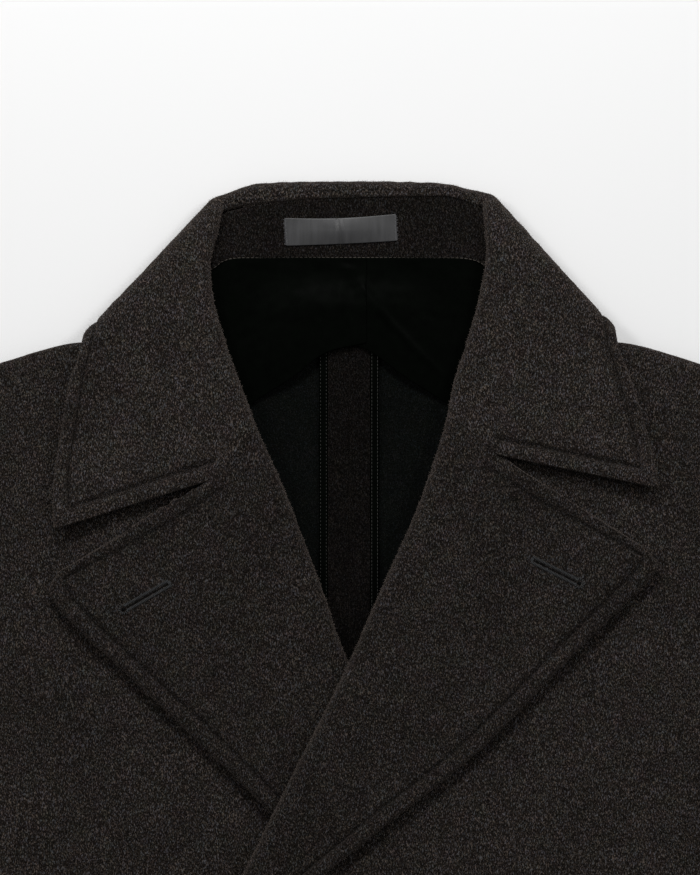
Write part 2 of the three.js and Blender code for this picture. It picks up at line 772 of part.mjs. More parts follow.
for (const [side, name] of [[-1, "right"], [1, "left"]]) {
  const lapelRows = side < 0 ? RIGHT_LAPEL : LEFT_LAPEL;
  add("back_" + name, wall(backGrids[side], CLOTH), melton);
  add("front_" + name, wall(frontGrids[side], CLOTH), melton);
  add("lapel_" + name, lapel(side, lapelRows), melton);
  add("upper_sleeve_" + name, sleeve(side, 1), melton);
  add("under_sleeve_" + name, sleeve(side, -1), melton);
  add("pocket_welt_" + name, pocketWelt(side), melton);
  add("seam_allowance_" + name, seamAllowance(side), melton);
  add("seam_binding_" + name, seamBinding(side), sateen);
  add("yoke_lining_" + name, yokeLining(side), sateen);
  BUTTON_ROWS.forEach((y, row) => {
    const button = add("button_" + name + "_" + (row + 1), buttonGeometry(), horn);
    const x = side * BUTTON_X;
    button.position.set(x, y, buttonZ(x, y));
  });
}
add("collar", collar(), melton);
add("collar_stand", collarStand(), melton);
add("label", label(), satin);

export default coat;
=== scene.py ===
"""Dresses the pea coat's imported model: melton, sateen, stitching, buttonholes, label, buttons and nap.

Tables and plain sizes are in millimetres in the coat's own plan, with X towards its left sleeve, Y up
from the neck seam at the centre of the back, and Z up off the surface it lies on. Left and right are the
wearer's. The meshes are in metres, where the frame has them.
"""

import math
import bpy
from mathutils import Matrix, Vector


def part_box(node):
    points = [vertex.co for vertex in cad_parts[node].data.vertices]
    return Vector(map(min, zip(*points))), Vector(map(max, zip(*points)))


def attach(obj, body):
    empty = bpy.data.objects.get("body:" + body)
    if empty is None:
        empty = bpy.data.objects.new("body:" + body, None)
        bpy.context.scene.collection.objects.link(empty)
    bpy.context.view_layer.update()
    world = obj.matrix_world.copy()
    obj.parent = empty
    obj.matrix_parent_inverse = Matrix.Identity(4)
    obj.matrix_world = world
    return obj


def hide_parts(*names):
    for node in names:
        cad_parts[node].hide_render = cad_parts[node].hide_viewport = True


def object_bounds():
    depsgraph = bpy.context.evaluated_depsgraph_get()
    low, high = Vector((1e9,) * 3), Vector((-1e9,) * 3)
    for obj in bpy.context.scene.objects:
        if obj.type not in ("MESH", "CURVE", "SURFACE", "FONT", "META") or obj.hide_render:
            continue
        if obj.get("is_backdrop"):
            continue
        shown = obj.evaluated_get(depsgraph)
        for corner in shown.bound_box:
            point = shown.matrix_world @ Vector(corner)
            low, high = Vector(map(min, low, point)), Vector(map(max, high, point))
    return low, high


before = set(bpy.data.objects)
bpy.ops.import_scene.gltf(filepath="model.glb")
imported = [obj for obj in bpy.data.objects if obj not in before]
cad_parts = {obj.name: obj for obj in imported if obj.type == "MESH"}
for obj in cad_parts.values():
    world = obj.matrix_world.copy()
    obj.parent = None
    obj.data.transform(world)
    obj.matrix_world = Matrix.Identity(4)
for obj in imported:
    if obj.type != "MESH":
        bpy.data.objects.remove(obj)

from types import SimpleNamespace

import bmesh
import bpy
import numpy as np
from bpy.props import FloatProperty, FloatVectorProperty, IntProperty, PointerProperty
from bpy.types import Operator, Panel, PropertyGroup
from mathutils import Matrix, Vector
from mathutils.bvhtree import BVHTree

bl_info = {
    "name": "Pea coat",
    "version": (1, 0, 0),
    "blender": (4, 5, 0),
    "location": "View3D > Sidebar > Coat",
    "description": "Dresses a pea coat laid flat: cloth, lining, stitching, label, buttons and nap",
    "category": "Object",
}

CAD_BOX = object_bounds()
MM = 0.001
HEM_Y = -750
NECK_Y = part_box("back_left")[0][1] - HEM_Y * MM  # the neck seam's place in the frame, in metres

SIDES = {"right": -1, "left": 1}
WORDS = {-1: "right", 1: "left"}

# The coat, as in the part's source
CLOTH = 2.4
DOUBLE = 4.0
LINING = 1.0
GAP = 0.3
FRONT_MIDDLE = 11.4  # height of the middle of the right front's cloth
HALF_LAP = 93.6
BREAK_Y = -397.8
SHOULDER = (232, -72)
UNDERARM = (280, -300)
HEM_X = 286
SLEEVE_INSEAM = 440
SLEEVE_SPLAY = math.radians(27)
CUFF_WIDTH = 145
ROLL = 3.2
EDGE_ROLL = 5
HIDDEN_EDGE = -27
CROSSING_X = 137
APEX_Y = -211
NOTCH_SHARE = 0.18
FACE = (DOUBLE + CLOTH) / 2 + GAP
BUTTON_X = 74
BUTTON_ROWS = (-414, -520, -626)
WELT = {"length": 168, "width": 32, "x": 196, "y": -520, "lean": math.radians(14)}
SEAM_ALLOWANCE = 11
BINDING_WIDTH = 4.6
BINDING_THICKNESS = 3


def table(columns, rows):
    """Rows of numbers as named columns."""
    return dict(zip(columns.split(), np.array(rows, float).T))


# The collar from the right notch (t = 0) round the back of the neck to the left notch (t = 12)
COLLAR = table("t roll_x roll_y edge_x edge_y", [
    [0, -52.1, -91.9, -153.4, -141],
    [1, -62, -65.5, -153.6, -117],
    [2, -70, -42.7, -149.7, -90],
    [3, -76, -18.9, -145.4, -65],
    [3.5, -76, 0, -142.2, -55.5],
    [4, -69.5, 17, -138, -47.4],
    [5, -66, 28.6, -122, -38],
    [5.3, -56, 34, -92, -32],
    [6, 0, 35.4, 0, -27],
    [6.7, 56, 34.4, 92, -32],
    [7, 69, 30.2, 122, -36],
    [8, 73, 19.5, 138, -43],
    [8.5, 76, 2, 142, -52],
    [9, 73, -19.5, 147.5, -66],
    [10, 66.5, -44, 153.5, -86],
    [11, 59.5, -66, 158.2, -104],
    [12, 55.9, -84.6, 161, -119.5],
])
NOTCH = {-1: np.array([-68.6, -114.4]), 1: np.array([77, -102.3])}
OUTWARD = {side: np.array([side * 0.745, 0.667, 0]) for side in (-1, 1)}  # where the collar turns under

# The lapels from the gorge seam (t = 0) down to the break
LAPEL = {
    -1: table("t roll_x roll_y edge_x edge_y radius", [
        [0, -47.2, -90.6, -151.5, -163.5, 3.2],
        [0.4, -42.6, -100.4, -155.5, -173, 3.2],
        [1, -32.8, -122.7, -145, -188.5, 3.2],
        [2, -13, -175, -107, -224.1, 2.8],
        [3, 0, -211, -57.7, -271.4, 2.3],
        [4, 45, -301, 0, -329, 2.3],
        [5, 86, -383, 70, -391, 2.3],
    ]),
    1: table("t roll_x roll_y edge_x edge_y radius", [
        [0, 50.7, -84.6, 155, -151.5, 3.2],
        [0.4, 46.3, -99.3, 160, -161.5, 3.2],
        [1, 35.7, -129.5, 144.6, -178.4, 3.2],
        [2, 16.1, -173.2, 111, -211.6, 3.2],
        [3, -3, -216, 66.4, -256.4, 3.2],
        [4, -32.2, -274, 16.6, -295.9, 3.2],
        [5, -60, -330, -31, -336, 3.0],
        [6, -88, -386.5, -72, -383, 2.4],
    ]),
}
ARMHOLE = [SHOULDER, (220, -125), (221, -175), (236, -220), (262, -264), UNDERARM]
SIDE_SEAM = [UNDERARM, (268, -450), (HEM_X, HEM_Y)]

# The seam between the stand and the collar, and the neck seam
STAND_TOP = [
    (-71.4, 13), (-69.2, 19.2), (-64.5, 23.9), (-54.9, 26.8), (-40.6, 29.1), (-21.8, 31.5),
    (20, 32.7), (53.6, 33), (63.4, 30.2), (69, 26), (71.2, 20.5),
]
STAND_LOW = [(-72, -6), (-64, -0.6), (-40, 0.4), (40, 0.4), (64, -0.4), (72, -4)]
ARCH = [(12, -49), (29, -61.5), (53, -77), (100, -115), (160, -166), (218, -220)]
LABEL_CORNERS = np.array([[-33.8, 21.3], [24.4, 23.4], [25.0, 9.4], [-32.8, 6.8]])

# Each lapel's buttonhole, from its plain end to its round one
LAPEL_HOLES = {-1: ((-93.3, -169.0), (-117.0, -182.5)), 1: ((95.2, -156.8), (121.5, -170.0))}


# Curves and grids

def smooth(t):
    t = np.clip(t, 0, 1)
    return t * t * (3 - 2 * t)


def mix(a, b, share):
    return a + (b - a) * share


def through(rows, column, t):
    """A smooth curve through one column of a table that has a column t."""
    knots, values = rows["t"], rows[column]
    count = len(knots)
    before = np.maximum(np.arange(count) - 1, 0)
    after = np.minimum(np.arange(count) + 1, count - 1)
    slope = (values[after] - values[before]) / (knots[after] - knots[before])
    i = np.clip(np.searchsorted(knots, t, side="left") - 1, 0, count - 2)
    step = knots[i + 1] - knots[i]
    s = (t - knots[i]) / step
    rise = values[i + 1] - values[i]
    start = slope[i] * step - rise
    end = slope[i + 1] * step - rise
    return values[i] + rise * s + s * (1 - s) * ((1 - s) * start - s * end)


def column_points(rows, name, t):
    return np.stack([through(rows, name + "_x", t), through(rows, name + "_y", t)], -1)


def bend(points, steps=40):
    """A centripetal curve through plan points, as short straight steps."""
    points = np.array(points, float)
    padded = np.vstack([2 * points[0] - points[1], points, 2 * points[-1] - points[-2]])
    curve = []
    s = np.linspace(0, 1, steps, endpoint=False)[:, None]
    for p0, p1, p2, p3 in zip(padded, padded[1:], padded[2:], padded[3:]):
        d0, d1, d2 = (math.sqrt(np.linalg.norm(b - a)) for a, b in ((p0, p1), (p1, p2), (p2, p3)))
        m1 = d1 * ((p1 - p0) / d0 - (p2 - p0) / (d0 + d1) + (p2 - p1) / d1)
        m2 = d1 * ((p2 - p1) / d1 - (p3 - p1) / (d1 + d2) + (p3 - p2) / d2)
        curve.append(p1 + m1 * s + (3 * (p2 - p1) - 2 * m1 - m2) * s**2 + (2 * (p1 - p2) + m1 + m2) * s**3)
    return np.vstack(curve + [points[-1:]])


def on(curve, share):
    """The points at shares of a curve's length."""
    steps = np.linalg.norm(np.diff(curve, axis=0), axis=1)
    reached = np.concatenate([[0], np.cumsum(steps)])
    at = np.asarray(share) * reached[-1]
    return np.stack([np.interp(at, reached, curve[:, k]) for k in range(curve.shape[1])], -1)


def length(curve):
    return np.linalg.norm(np.diff(curve, axis=0), axis=1).sum()


def places(count, first=0.0, last=0.0, steps=5):
    """Shares from 0 to 1, close together over the first and last share, where an edge is rounded."""
    arc = 1 - np.cos(np.linspace(0, math.pi / 2, steps, endpoint=False))
    middle = np.linspace(first, 1 - last, count + 1)
    return np.concatenate([arc * first if first else [], middle, (1 - arc * last)[::-1] if last else []])


def turned(share, roll):
    """1 at a seam, where the cloth turns down, and 0 where it is flat again."""
    near = np.clip(1 - share / roll, 0, 1)
    return 1 - np.sqrt(1 - near**2)


def waves(seed, shortest, longest, count=24):
    """A gentle unevenness between -1 and 1 over the plan, with waves of the given lengths."""
    random = np.random.default_rng(seed)
    angle = random.uniform(0, math.tau, count)
    number = math.tau / random.uniform(shortest, longest, count)
    start = random.uniform(0, math.tau, count)

    def at(x, y):
        total = 0
        for a, k, p in zip(angle, number, start):
            total = total + np.sin(k * (np.cos(a) * x + np.sin(a) * y) + p)
        return total / math.sqrt(count)

    return at


drape_waves = waves(seed=3, shortest=70, longest=190)
felt_waves = waves(seed=8, shortest=5, longest=13, count=40)


def drape(grid):
    """Lets the upper layers lie a little unevenly, all by the same amount at a place."""
    lift = 0.45 * drape_waves(grid[..., 0], grid[..., 1])
    grid[..., 2] += lift * smooth((grid[..., 2] - 7) / 3)
    return grid


# Heights of the middle of each layer

def back_z(x, y):
    edge = HIDDEN_EDGE - 20 * (x / CROSSING_X) ** 2
    near_collar = smooth((y - edge + 78) / 66) * smooth((CROSSING_X + 66 - np.abs(x)) / 52)
    return CLOTH / 2 + (DOUBLE + GAP + 0.2) * near_collar


def right_front_z(x, y):
    return np.full(np.shape(x), FRONT_MIDDLE)


def left_front_z(x, y):
    roll_length = math.hypot(HALF_LAP, BREAK_Y - APEX_Y)
    beyond_roll = (x * (APEX_Y - BREAK_Y) + (y - APEX_Y) * HALF_LAP) / roll_length
    upper = 9.5 * (1 - smooth((beyond_roll - 5) / 110))
    lower = (CLOTH + GAP) * (1 - smooth((x - HALF_LAP - 30) / 70))
    return FRONT_MIDDLE + mix(lower, upper, smooth((y - BREAK_Y + 112) / 70))


FRONT_Z = {-1: right_front_z, 1: left_front_z}


def seam_z(side, away):
    return lambda x, y: (FRONT_Z[side](x, y) + back_z(x, y)) / 2 + away


def leaf_lift(share, radius):
    """How far a leaf's middle lies above the front's, from its roll to its free edge."""
    return FACE + (2 * radius - FACE) * (1 - smooth(share / 0.7))


# Grids of the middle of each piece of cloth, as rows by columns by XYZ

ROLL_STEPS = 16
LEAF_TO_NOTCH = 12
LEAF_PLAIN = 30
LEAF_STITCHED = 22
STITCHED_BAND = 14  # the width that is stepped closely along a stitched edge
EDGE_ROUND = 2.2  # the rounded free edge of the collar and the lapels
SEAM_ROUND = 0.45
LEAF_ROUNDS = (0.8, EDGE_ROUND, SEAM_ROUND, SEAM_ROUND)
EDGE_LIFT = 3.4  # how far free edges lift off the cloth under them
END_LIFT = 3.2  # how much further the collar's ends lift beyond the notches


def leaf_shares(width):
    """Shares of each row's leaf from the roll to the free edge, closely stepped where it is stitched."""
    width = width[:, None]
    inner = np.linspace(0, NOTCH_SHARE, LEAF_TO_NOTCH + 1)[1:]
    arc = (1 - np.cos(np.linspace(0, math.pi / 2, 6)))[::-1]
    last = 1 - EDGE_ROUND * arc / width
    band = 1 - np.minimum(STITCHED_BAND, width / 2) / width
    plain = NOTCH_SHARE + np.linspace(0, 1, LEAF_PLAIN + 1)[1:] * (band - NOTCH_SHARE)
    stitched = band + np.linspace(0, 1, LEAF_STITCHED + 1)[1:-1] * (last[:, :1] - band)
    return np.hstack([np.tile(inner, (len(width), 1)), plain, stitched, last])


def softened(grid, t, passes=140):
    """Evens out the collar along its length where it turns under, either side of the back of the neck."""
    weight = 0.5 * np.maximum(smooth((0.9 - np.abs(t - 4.5)) / 0.3), smooth((0.9 - np.abs(t - 7.5)) / 0.3))
    for _ in range(passes):
        between = (grid[:-2] + grid[2:]) / 2
        grid[1:-1] += (between - grid[1:-1]) * weight[1:-1, None, None]
    return grid


def notch_tent(share):
    return np.minimum(share / NOTCH_SHARE, (1 - share) / (1 - NOTCH_SHARE))


def roll_columns(roll, out, along, radius, run):
    """The run on the neck side and the half-round roll of each row."""
    def at(a, b):
        return roll + out * a + along * b
    columns = [at(-radius, run * share) for share in (1, 0.8, 0.5, 0.2)]
    for angle in np.linspace(0, math.pi, ROLL_STEPS + 1):
        columns.append(at(-radius * math.cos(angle), -radius * math.sin(angle)))
    return np.stack(columns, 1)


def with_z(points, z):
    return np.concatenate([points, np.broadcast_to(np.asarray(z)[..., None], points.shape[:-1] + (1,))], -1)


def unit(v):
    return v / np.linalg.norm(v, axis=-1, keepdims=True)


def collar_grid():
    end, stitched = 0.03, 0.6
    first = stitched * places(24, end / stitched, 0)[:-1]
    t = np.concatenate([
        first,
        stitched + (4 - stitched) * places(60)[:-1],
        4 + places(36)[:-1],
        5 + 2 * places(56)[:-1],
        7 + places(36)[:-1],
        8 + (4 - stitched) * places(60),
        (12 - first)[::-1],
    ])
    side = np.where(t < 6, -1, 1)
    turn = math.pi * np.clip(np.where(t < 6, t - 4, 8 - t), 0, 1)
    roll, edge = column_points(COLLAR, "roll", t), column_points(COLLAR, "edge", t)
    along = with_z(unit(edge - roll), 0)
    outward = np.where((side < 0)[:, None], OUTWARD[-1], OUTWARD[1])
    out = outward * np.sin(turn)[:, None] + np.array([0, 0, 1]) * np.cos(turn)[:, None]

    def carried(points):
        x, y = points[..., 0], points[..., 1]
        shape = (-1,) + (1,) * (x.ndim - 1)
        return np.where(side.reshape(shape) < 0, right_front_z(x, y), left_front_z(x, y))

    def over(points, above, below):
        middle, reach = (above + below) / 2, (above - below) / 2
        return with_z(points, middle + reach * np.cos(turn)) + outward * (reach * np.sin(turn))[:, None]

    roll_point = over(roll, carried(roll) + ROLL, DOUBLE / 2 + ROLL)
    edge_point = over(edge, carried(edge) + FACE, DOUBLE / 2)
    seam_y = np.interp(roll[:, 0], *np.array(STAND_TOP).T)
    run = np.maximum(roll[:, 1] - seam_y + 0.4, 0) * smooth((np.sin(turn / 2) - 0.75) / 0.25) + 0.2
    start = roll_point + out * ROLL
    width = np.linalg.norm(edge_point - start, axis=1)
    share = leaf_shares(width)
    leaf = start[:, None] + (edge_point - start)[:, None] * share[..., None]
    notch = np.where((side < 0)[:, None], NOTCH[-1], NOTCH[1])
    pull = np.maximum(0, 1 - np.where(side < 0, t, 12 - t)) ** 2
    on_line = mix(start, edge_point, NOTCH_SHARE)[:, :2]
    leaf[..., :2] += (pull[:, None] * notch_tent(share))[..., None] * (notch - on_line)[:, None]
    flat = carried(leaf) + leaf_lift(share, ROLL)
    leaf[..., 2] = mix(leaf[..., 2], flat, (1 - smooth(turn / (0.3 * math.pi)))[:, None])
    leaf[..., 2] += EDGE_LIFT * smooth((share - 0.6) / 0.4) * np.maximum(np.cos(turn), 0)[:, None]
    near_end = smooth(1 - np.minimum(t, 12 - t) / 1.6)
    leaf[..., 2] += END_LIFT * near_end[:, None] * smooth((share - NOTCH_SHARE) / 0.35)
    grid = np.concatenate([roll_columns(roll_point, out, along, ROLL, run[:, None]), leaf], 1)
    return drape(softened(grid, t)), t


LEAF_START = 4 + ROLL_STEPS + 1  # the first column of a leaf
NOTCH_COLUMN = LEAF_START + LEAF_TO_NOTCH - 1


def lapel_roll(side, t):
    rows = LAPEL[side]
    roll, edge = column_points(rows, "roll", t), column_points(rows, "edge", t)
    along = unit(edge - roll)
    radius = through(rows, "radius", t)
    middle = roll + along * (radius + DOUBLE / 2)[..., None]
    return middle, along, edge, radius


def lapel_grid(side, collar_end):
    """A lapel whose gorge seam meets the collar's end row."""
    last = LAPEL[side]["t"][-1]
    stitched = 0.55
    t = np.concatenate([stitched * places(26, 0.02 / stitched, 0)[:-1], mix(stitched, last, places(150))])
    middle, along, edge, radius = lapel_roll(side, t)
    carried = FRONT_Z[side]
    roll = with_z(middle, carried(middle[:, 0], middle[:, 1]) + radius)
    share = leaf_shares(np.linalg.norm(edge - middle, axis=1))
    pull = np.maximum(0, 1 - t / 0.8) ** 2
    on_line = mix(middle, edge, NOTCH_SHARE)
    leaf = middle[:, None] + (edge - middle)[:, None] * share[..., None]
    leaf += (pull[:, None] * notch_tent(share))[..., None] * (NOTCH[side] - on_line)[:, None]
    lift = leaf_lift(share, radius[:, None]) + EDGE_LIFT * smooth((share - 0.6) / 0.4)
    leaf = with_z(leaf, carried(leaf[..., 0], leaf[..., 1]) + lift)
    up = np.broadcast_to([0.0, 0.0, 1.0], roll.shape)
    grid = np.concatenate([roll_columns(roll, up, with_z(along, 0), radius[:, None], 0.2), leaf], 1)
    grid = drape(grid)
    apart = collar_end - grid[0]
    beyond = notch_tent(share[0])[NOTCH_COLUMN + 1 - LEAF_START:]
    apart[NOTCH_COLUMN + 1:] = apart[NOTCH_COLUMN] * beyond[:, None]
    return grid + apart[None] * pull[:, None, None]


def panel(left, right, top, bottom, rows, cols, height, seam, row_drop, col_drop, fade=1):
    """A piece between four curves, as in the part's source."""
    u, v = cols[None, :, None], rows[:, None, None]
    starts, ends = on(left, rows)[:, None], on(right, rows)[:, None]
    top_bulge = on(top, cols)[None] - mix(on(left, 0), on(right, 0), u)
    bottom_bulge = on(bottom, cols)[None] - mix(on(left, 1), on(right, 1), u)
    points = mix(starts, ends, u) + top_bulge * (1 - v) ** fade + bottom_bulge * v
    x, y = points[..., 0], points[..., 1]
    drop = np.maximum(row_drop, col_drop)
    return with_z(points, mix(height(x, y), seam(x, y), drop))


def seam_line(points, side, shift=0):
    return bend([(side * (x + shift), y) for x, y in points])


def shoulder_seam(side):
    return bend([(side * x, y) for x, y in ((80, -21), (115, -36), (132, -43.2), (150, -45.8), SHOULDER)])


ARM_TURN = EDGE_ROLL / 240


def body_rows(side, count):
    """Places down a body panel, and how far its top and its side edge are turned at each."""
    armhole, side_seam = length(seam_line(ARMHOLE, side)), length(seam_line(SIDE_SEAM, side))
    share = armhole / (armhole + side_seam)
    roll = ARM_TURN * share
    rows = np.concatenate([share * places(count // 3, ARM_TURN, ARM_TURN)[:-1],
                           mix(share, 1, places(2 * count // 3, 0, 0.003))])
    top_drop = turned(rows, roll)
    side_drop = np.where(rows < share, turned(np.maximum(share - rows, 0), roll), 1)
    return rows, top_drop, side_drop


def front_grid(side):
    inset = 1.5
    inner = [np.array([side * 80, -21])]
    collar_t = [2.5, 1.9, 1.3, 0.7, 0.2] if side < 0 else [9.6, 10.1, 10.7, 11.3, 11.8]
    for t in collar_t:
        roll, edge = column_points(COLLAR, "roll", t), column_points(COLLAR, "edge", t)
        inner.append(roll + unit(edge - roll) * inset)
    for t in np.arange(0.5, LAPEL[side]["t"][-1] + 0.1, 0.5):
        middle, along, _, _ = lapel_roll(side, t)
        inner.append(middle + along * inset)
    edge_x = -side * HALF_LAP
    hem = (edge_x, HEM_Y)
    left = np.vstack([bend(inner), [(edge_x, BREAK_Y - 8), hem]])
    rows, top_drop, side_drop = body_rows(side, 150)
    band = STITCHED_BAND / 300
    cols = np.concatenate([band * places(18, 1.1 / STITCHED_BAND, 0)[:-1],
                           mix(band, 1, places(62, 0, EDGE_ROLL / 300))])
    col_drop = turned(1 - cols, EDGE_ROLL / 300)[None] * side_drop[:, None]
    body_edge = np.vstack([seam_line(ARMHOLE, side), seam_line(SIDE_SEAM, side)])
    bottom = np.array([hem, (side * HEM_X, HEM_Y)], float)
    grid = panel(left, body_edge, shoulder_seam(side), bottom, rows, cols,
                 FRONT_Z[side], seam_z(side, GAP / 2 + 0.1), top_drop[:, None], col_drop)
    return drape(grid)


def back_grid(side):
    neck = bend([(0, -GAP), (side * 40, -GAP), (side * 76, -GAP - 6)])
    seam = shoulder_seam(side)
    top = np.vstack([neck, seam])
    neck_share = (length(neck) + 8) / length(top)
    left = np.array([neck[0], (0, HEM_Y)])
    rows, top_drop, side_drop = body_rows(side, 80)
    cols = places(50, 0.8 / 260, EDGE_ROLL / 260)
    col_drop = turned(1 - cols, EDGE_ROLL / 260)[None] * side_drop[:, None]
    row_drop = top_drop[:, None] * smooth((cols - neck_share + 0.02) / 0.04)[None]
    body_edge = np.vstack([seam_line(ARMHOLE, side), seam_line(SIDE_SEAM, side)])
    bottom = np.array([left[1], (side * HEM_X, HEM_Y)], float)
    return panel(left, body_edge, top, bottom, rows, cols,
                 back_z, seam_z(side, -GAP / 2 - 0.1), row_drop, col_drop)


# Soft creases of the sleeves: ridges where the cloth bunches towards the underarm and the elbow
CREASES = table("x y angle length width height", [
    [318, -262, -38, 70, 9, 2.2],
    [338, -300, -30, 62, 8, 1.7],
    [352, -236, -52, 58, 8, 1.5],
    [392, -384, 12, 60, 8, 1.6],
    [408, -418, 20, 66, 9, 2.0],
    [424, -452, 8, 52, 8, 1.4],
    [470, -560, 24, 54, 9, 1.2],
])


def crease_lift(x, y):
    total = 0
    for cx, cy, angle, reach, width, height in zip(*CREASES.values()):
        a = math.radians(angle)
        along = ((x - cx) * math.cos(a) + (y - cy) * math.sin(a)) / reach
        across = ((cx - x) * math.sin(a) + (y - cy) * math.cos(a) + 7 * along**2) / width
        total = total + height * np.exp(-(along**2) * 4 - across**2)
    return total


def sleeve_grid(side, layer):
    away = 0.5
    down = np.array([math.sin(SLEEVE_SPLAY), -math.cos(SLEEVE_SPLAY)])
    across = np.array([math.cos(SLEEVE_SPLAY), math.sin(SLEEVE_SPLAY)])
    pit = np.array(UNDERARM, float)
    cuff_in = pit + down * SLEEVE_INSEAM
    cuff_out = cuff_in + across * CUFF_WIDTH
    cap = [SHOULDER, (290, -86), (348, -118), (394, -166), (427, -225), (520, -418), cuff_out]

    def mirrored(points):
        return np.array([(side * (x + away), y) for x, y in points])

    rows = places(110 if layer > 0 else 60, 0.004, 0.004) ** 1.5
    cols = places(64 if layer > 0 else 30, ARM_TURN, ARM_TURN)
    middle = FRONT_MIDDLE if layer > 0 else CLOTH / 2
    halfway = (FRONT_MIDDLE + CLOTH / 2) / 2 + layer * (GAP / 2 + 0.1)
    drop = np.maximum(turned(cols, ARM_TURN), turned(1 - cols, ARM_TURN))[None]
    grid = panel(bend(mirrored(cap)), mirrored([pit, cuff_in]), seam_line(ARMHOLE, side, away),
                 mirrored([cuff_out, cuff_in]), rows, cols,
                 lambda x, y: np.full(x.shape, middle), lambda x, y: np.full(x.shape, halfway),
                 np.zeros((len(rows), 1)), drop, fade=9)
    from_pit = np.hypot(np.abs(grid[..., 0]) - UNDERARM[0], grid[..., 1] - UNDERARM[1])
    grid[..., 0] += side * CLOTH * np.exp(-((from_pit / 16) ** 2))
    if layer > 0:
        edge = np.minimum(cols, 1 - cols)[None]
        lift = crease_lift(np.abs(grid[..., 0]), grid[..., 1])
        grid[..., 2] += lift * smooth(edge / 0.14) * smooth(rows[:, None] / 0.03)
        grid = drape(grid)
    return grid


def inside_z(x, y, above):
    return back_z(x, y) + CLOTH / 2 + GAP + above


def strip_grid(x0, x1, thickness, rows=160, cols=8, edge=0.8):
    width = abs(x1 - x0)
    u = places(cols, edge / width, edge / width)[None]
    v = (places(rows, 0.0005, 0.0005) ** 1.6)[:, None]
    y = mix(-36, HEM_Y + 12, v) + 0 * u
    x = mix(x0, x1, u) + 0.25 * np.sin(y / 9.0) * np.abs(u - 0.5) * np.sign(x1)
    return with_z(np.stack([x, y], -1), inside_z(x, y, thickness / 2))


LINING_HALF = 1  # how far one half of the lining lies above the other


def lining_grid(side):
    lap = side * (-9 if side < 0 else 1.2)
    start = (lap, 0.6)
    shoulder = (side * 220, -80)
    neck = bend([start, (side * 40, 0.6), (side * 64, -0.4), (side * 75, -5)])
    over = bend([(side * 75, -5), (side * 84, -30), (side * 128, -52), shoulder])
    armhole = bend([shoulder, (side * 209, -125), (side * 210, -175), (side * 218, -220)])
    left = np.array([start, (lap, -44)])
    arch = bend([left[1]] + [(side * x, y) for x, y in ARCH])
    rows, cols = places(60, 0.01, 0.012), places(90, 0.004, 0.004)
    flat = np.zeros((1, 1))

    def height(x, y):
        on_seam = (BINDING_THICKNESS + 0.6) * smooth((60 - np.abs(x)) / 34) * smooth((-y - 6) / 22)
        on_half = LINING_HALF * smooth((x + 40) / 24) if side < 0 else 0
        pleat = -1.6 - 0.62 * (y + 2) + 0.004 * (y + 2) ** 2
        fold = 1.0 * np.exp(-(((x - pleat) / 2.4) ** 2)) * smooth((y + 74) / 40) * smooth((-y - 1) / 5)
        fold = fold + 0.9 * np.exp(-(((x + 4.5) / 2.6) ** 2)) * smooth((y + 34) / 16) * smooth((-y - 1) / 5)
        ripple = 0.4 * np.sin(x / 6.5 + 0.05 * y) * smooth((-y - 1) / 6) * smooth((y + 40) / 30)
        return inside_z(x, y, LINING / 2 + 0.2 + on_seam + on_half + fold + ripple)

    return panel(left, armhole, np.vstack([neck, over]), arch, rows, cols, height, height, flat, flat)


def stand_z(x, v):
    return 6.5 + 1.6 * v + 2.2 * smooth((np.abs(x) - 58) / 12)


def stand_grid():
    rows, cols = places(34, 0.02, 0.03), places(120, 0.004, 0.004)
    low, top = on(bend(STAND_LOW), cols)[None], on(bend(STAND_TOP), cols)[None]
    v = rows[:, None]
    points = mix(low, top, v[..., None])
    return with_z(points, stand_z(points[..., 0], v))


def label_grid():
    rows, cols = places(26, 0.02, 0.03), places(90, 0.006, 0.006)
    u, v = cols[None, :, None], rows[:, None, None]
    top = mix(LABEL_CORNERS[0], LABEL_CORNERS[1], u)
    low = mix(LABEL_CORNERS[3], LABEL_CORNERS[2], u)
    points = mix(top, low, v)
    x = points[..., 0]
    sag = np.sin(math.pi * cols)[None]
    points[..., 1] -= sag * mix(1.1, 0.3, rows[:, None])
    low_y = np.interp(x, *on(bend(STAND_LOW), np.linspace(0, 1, 60)).T)
    top_y = np.interp(x, *on(bend(STAND_TOP), np.linspace(0, 1, 60)).T)
    z = stand_z(x, (points[..., 1] - low_y) / (top_y - low_y)) + CLOTH / 2 + 0.6
    crease = 0.55 * np.exp(-(((x + 3.1 + 0.1 * points[..., 1]) / 1.6) ** 2))
    belly = 0.9 * sag * np.sin(math.pi * rows)[:, None]
    return with_z(points, z + belly - crease)


def welt_grid(side):
    rows, cols = places(70, 0.01, 0.01), places(20, 0.05, 0.05)
    down = np.array([side * math.sin(WELT["lean"]), -math.cos(WELT["lean"])])
    across = np.array([side * math.cos(WELT["lean"]), math.sin(WELT["lean"])])
    points = np.array([side * WELT["x"], WELT["y"]]) + (rows[:, None, None] - 0.5) * WELT["length"] * down
    points = points + (cols[None, :, None] - 0.5) * WELT["width"] * across
    x, y = points[..., 0], points[..., 1]
    return drape(with_z(points, FRONT_Z[side](x, y) + CLOTH + GAP))


# Finishes

def tree_of(name):
    finish = bpy.data.materials.new(name)
    finish.use_nodes = True
    tree = finish.node_tree
    return finish, tree, tree.nodes["Principled BSDF"]


def make(tree, kind, **inputs):
    """A node with its plain settings and the values or links of its inputs."""
    node = tree.nodes.new(kind)
    for key, value in inputs.items():
        name = key.replace("_", " ")
        if hasattr(node, key) and key not in node.inputs:
            setattr(node, key, value)
            continue
        socket = node.inputs[int(name[5:])] if name.startswith("input") else node.inputs[name]
        if isinstance(value, bpy.types.NodeSocket):
            tree.links.new(value, socket)
        else:
            socket.default_value = value
    return node


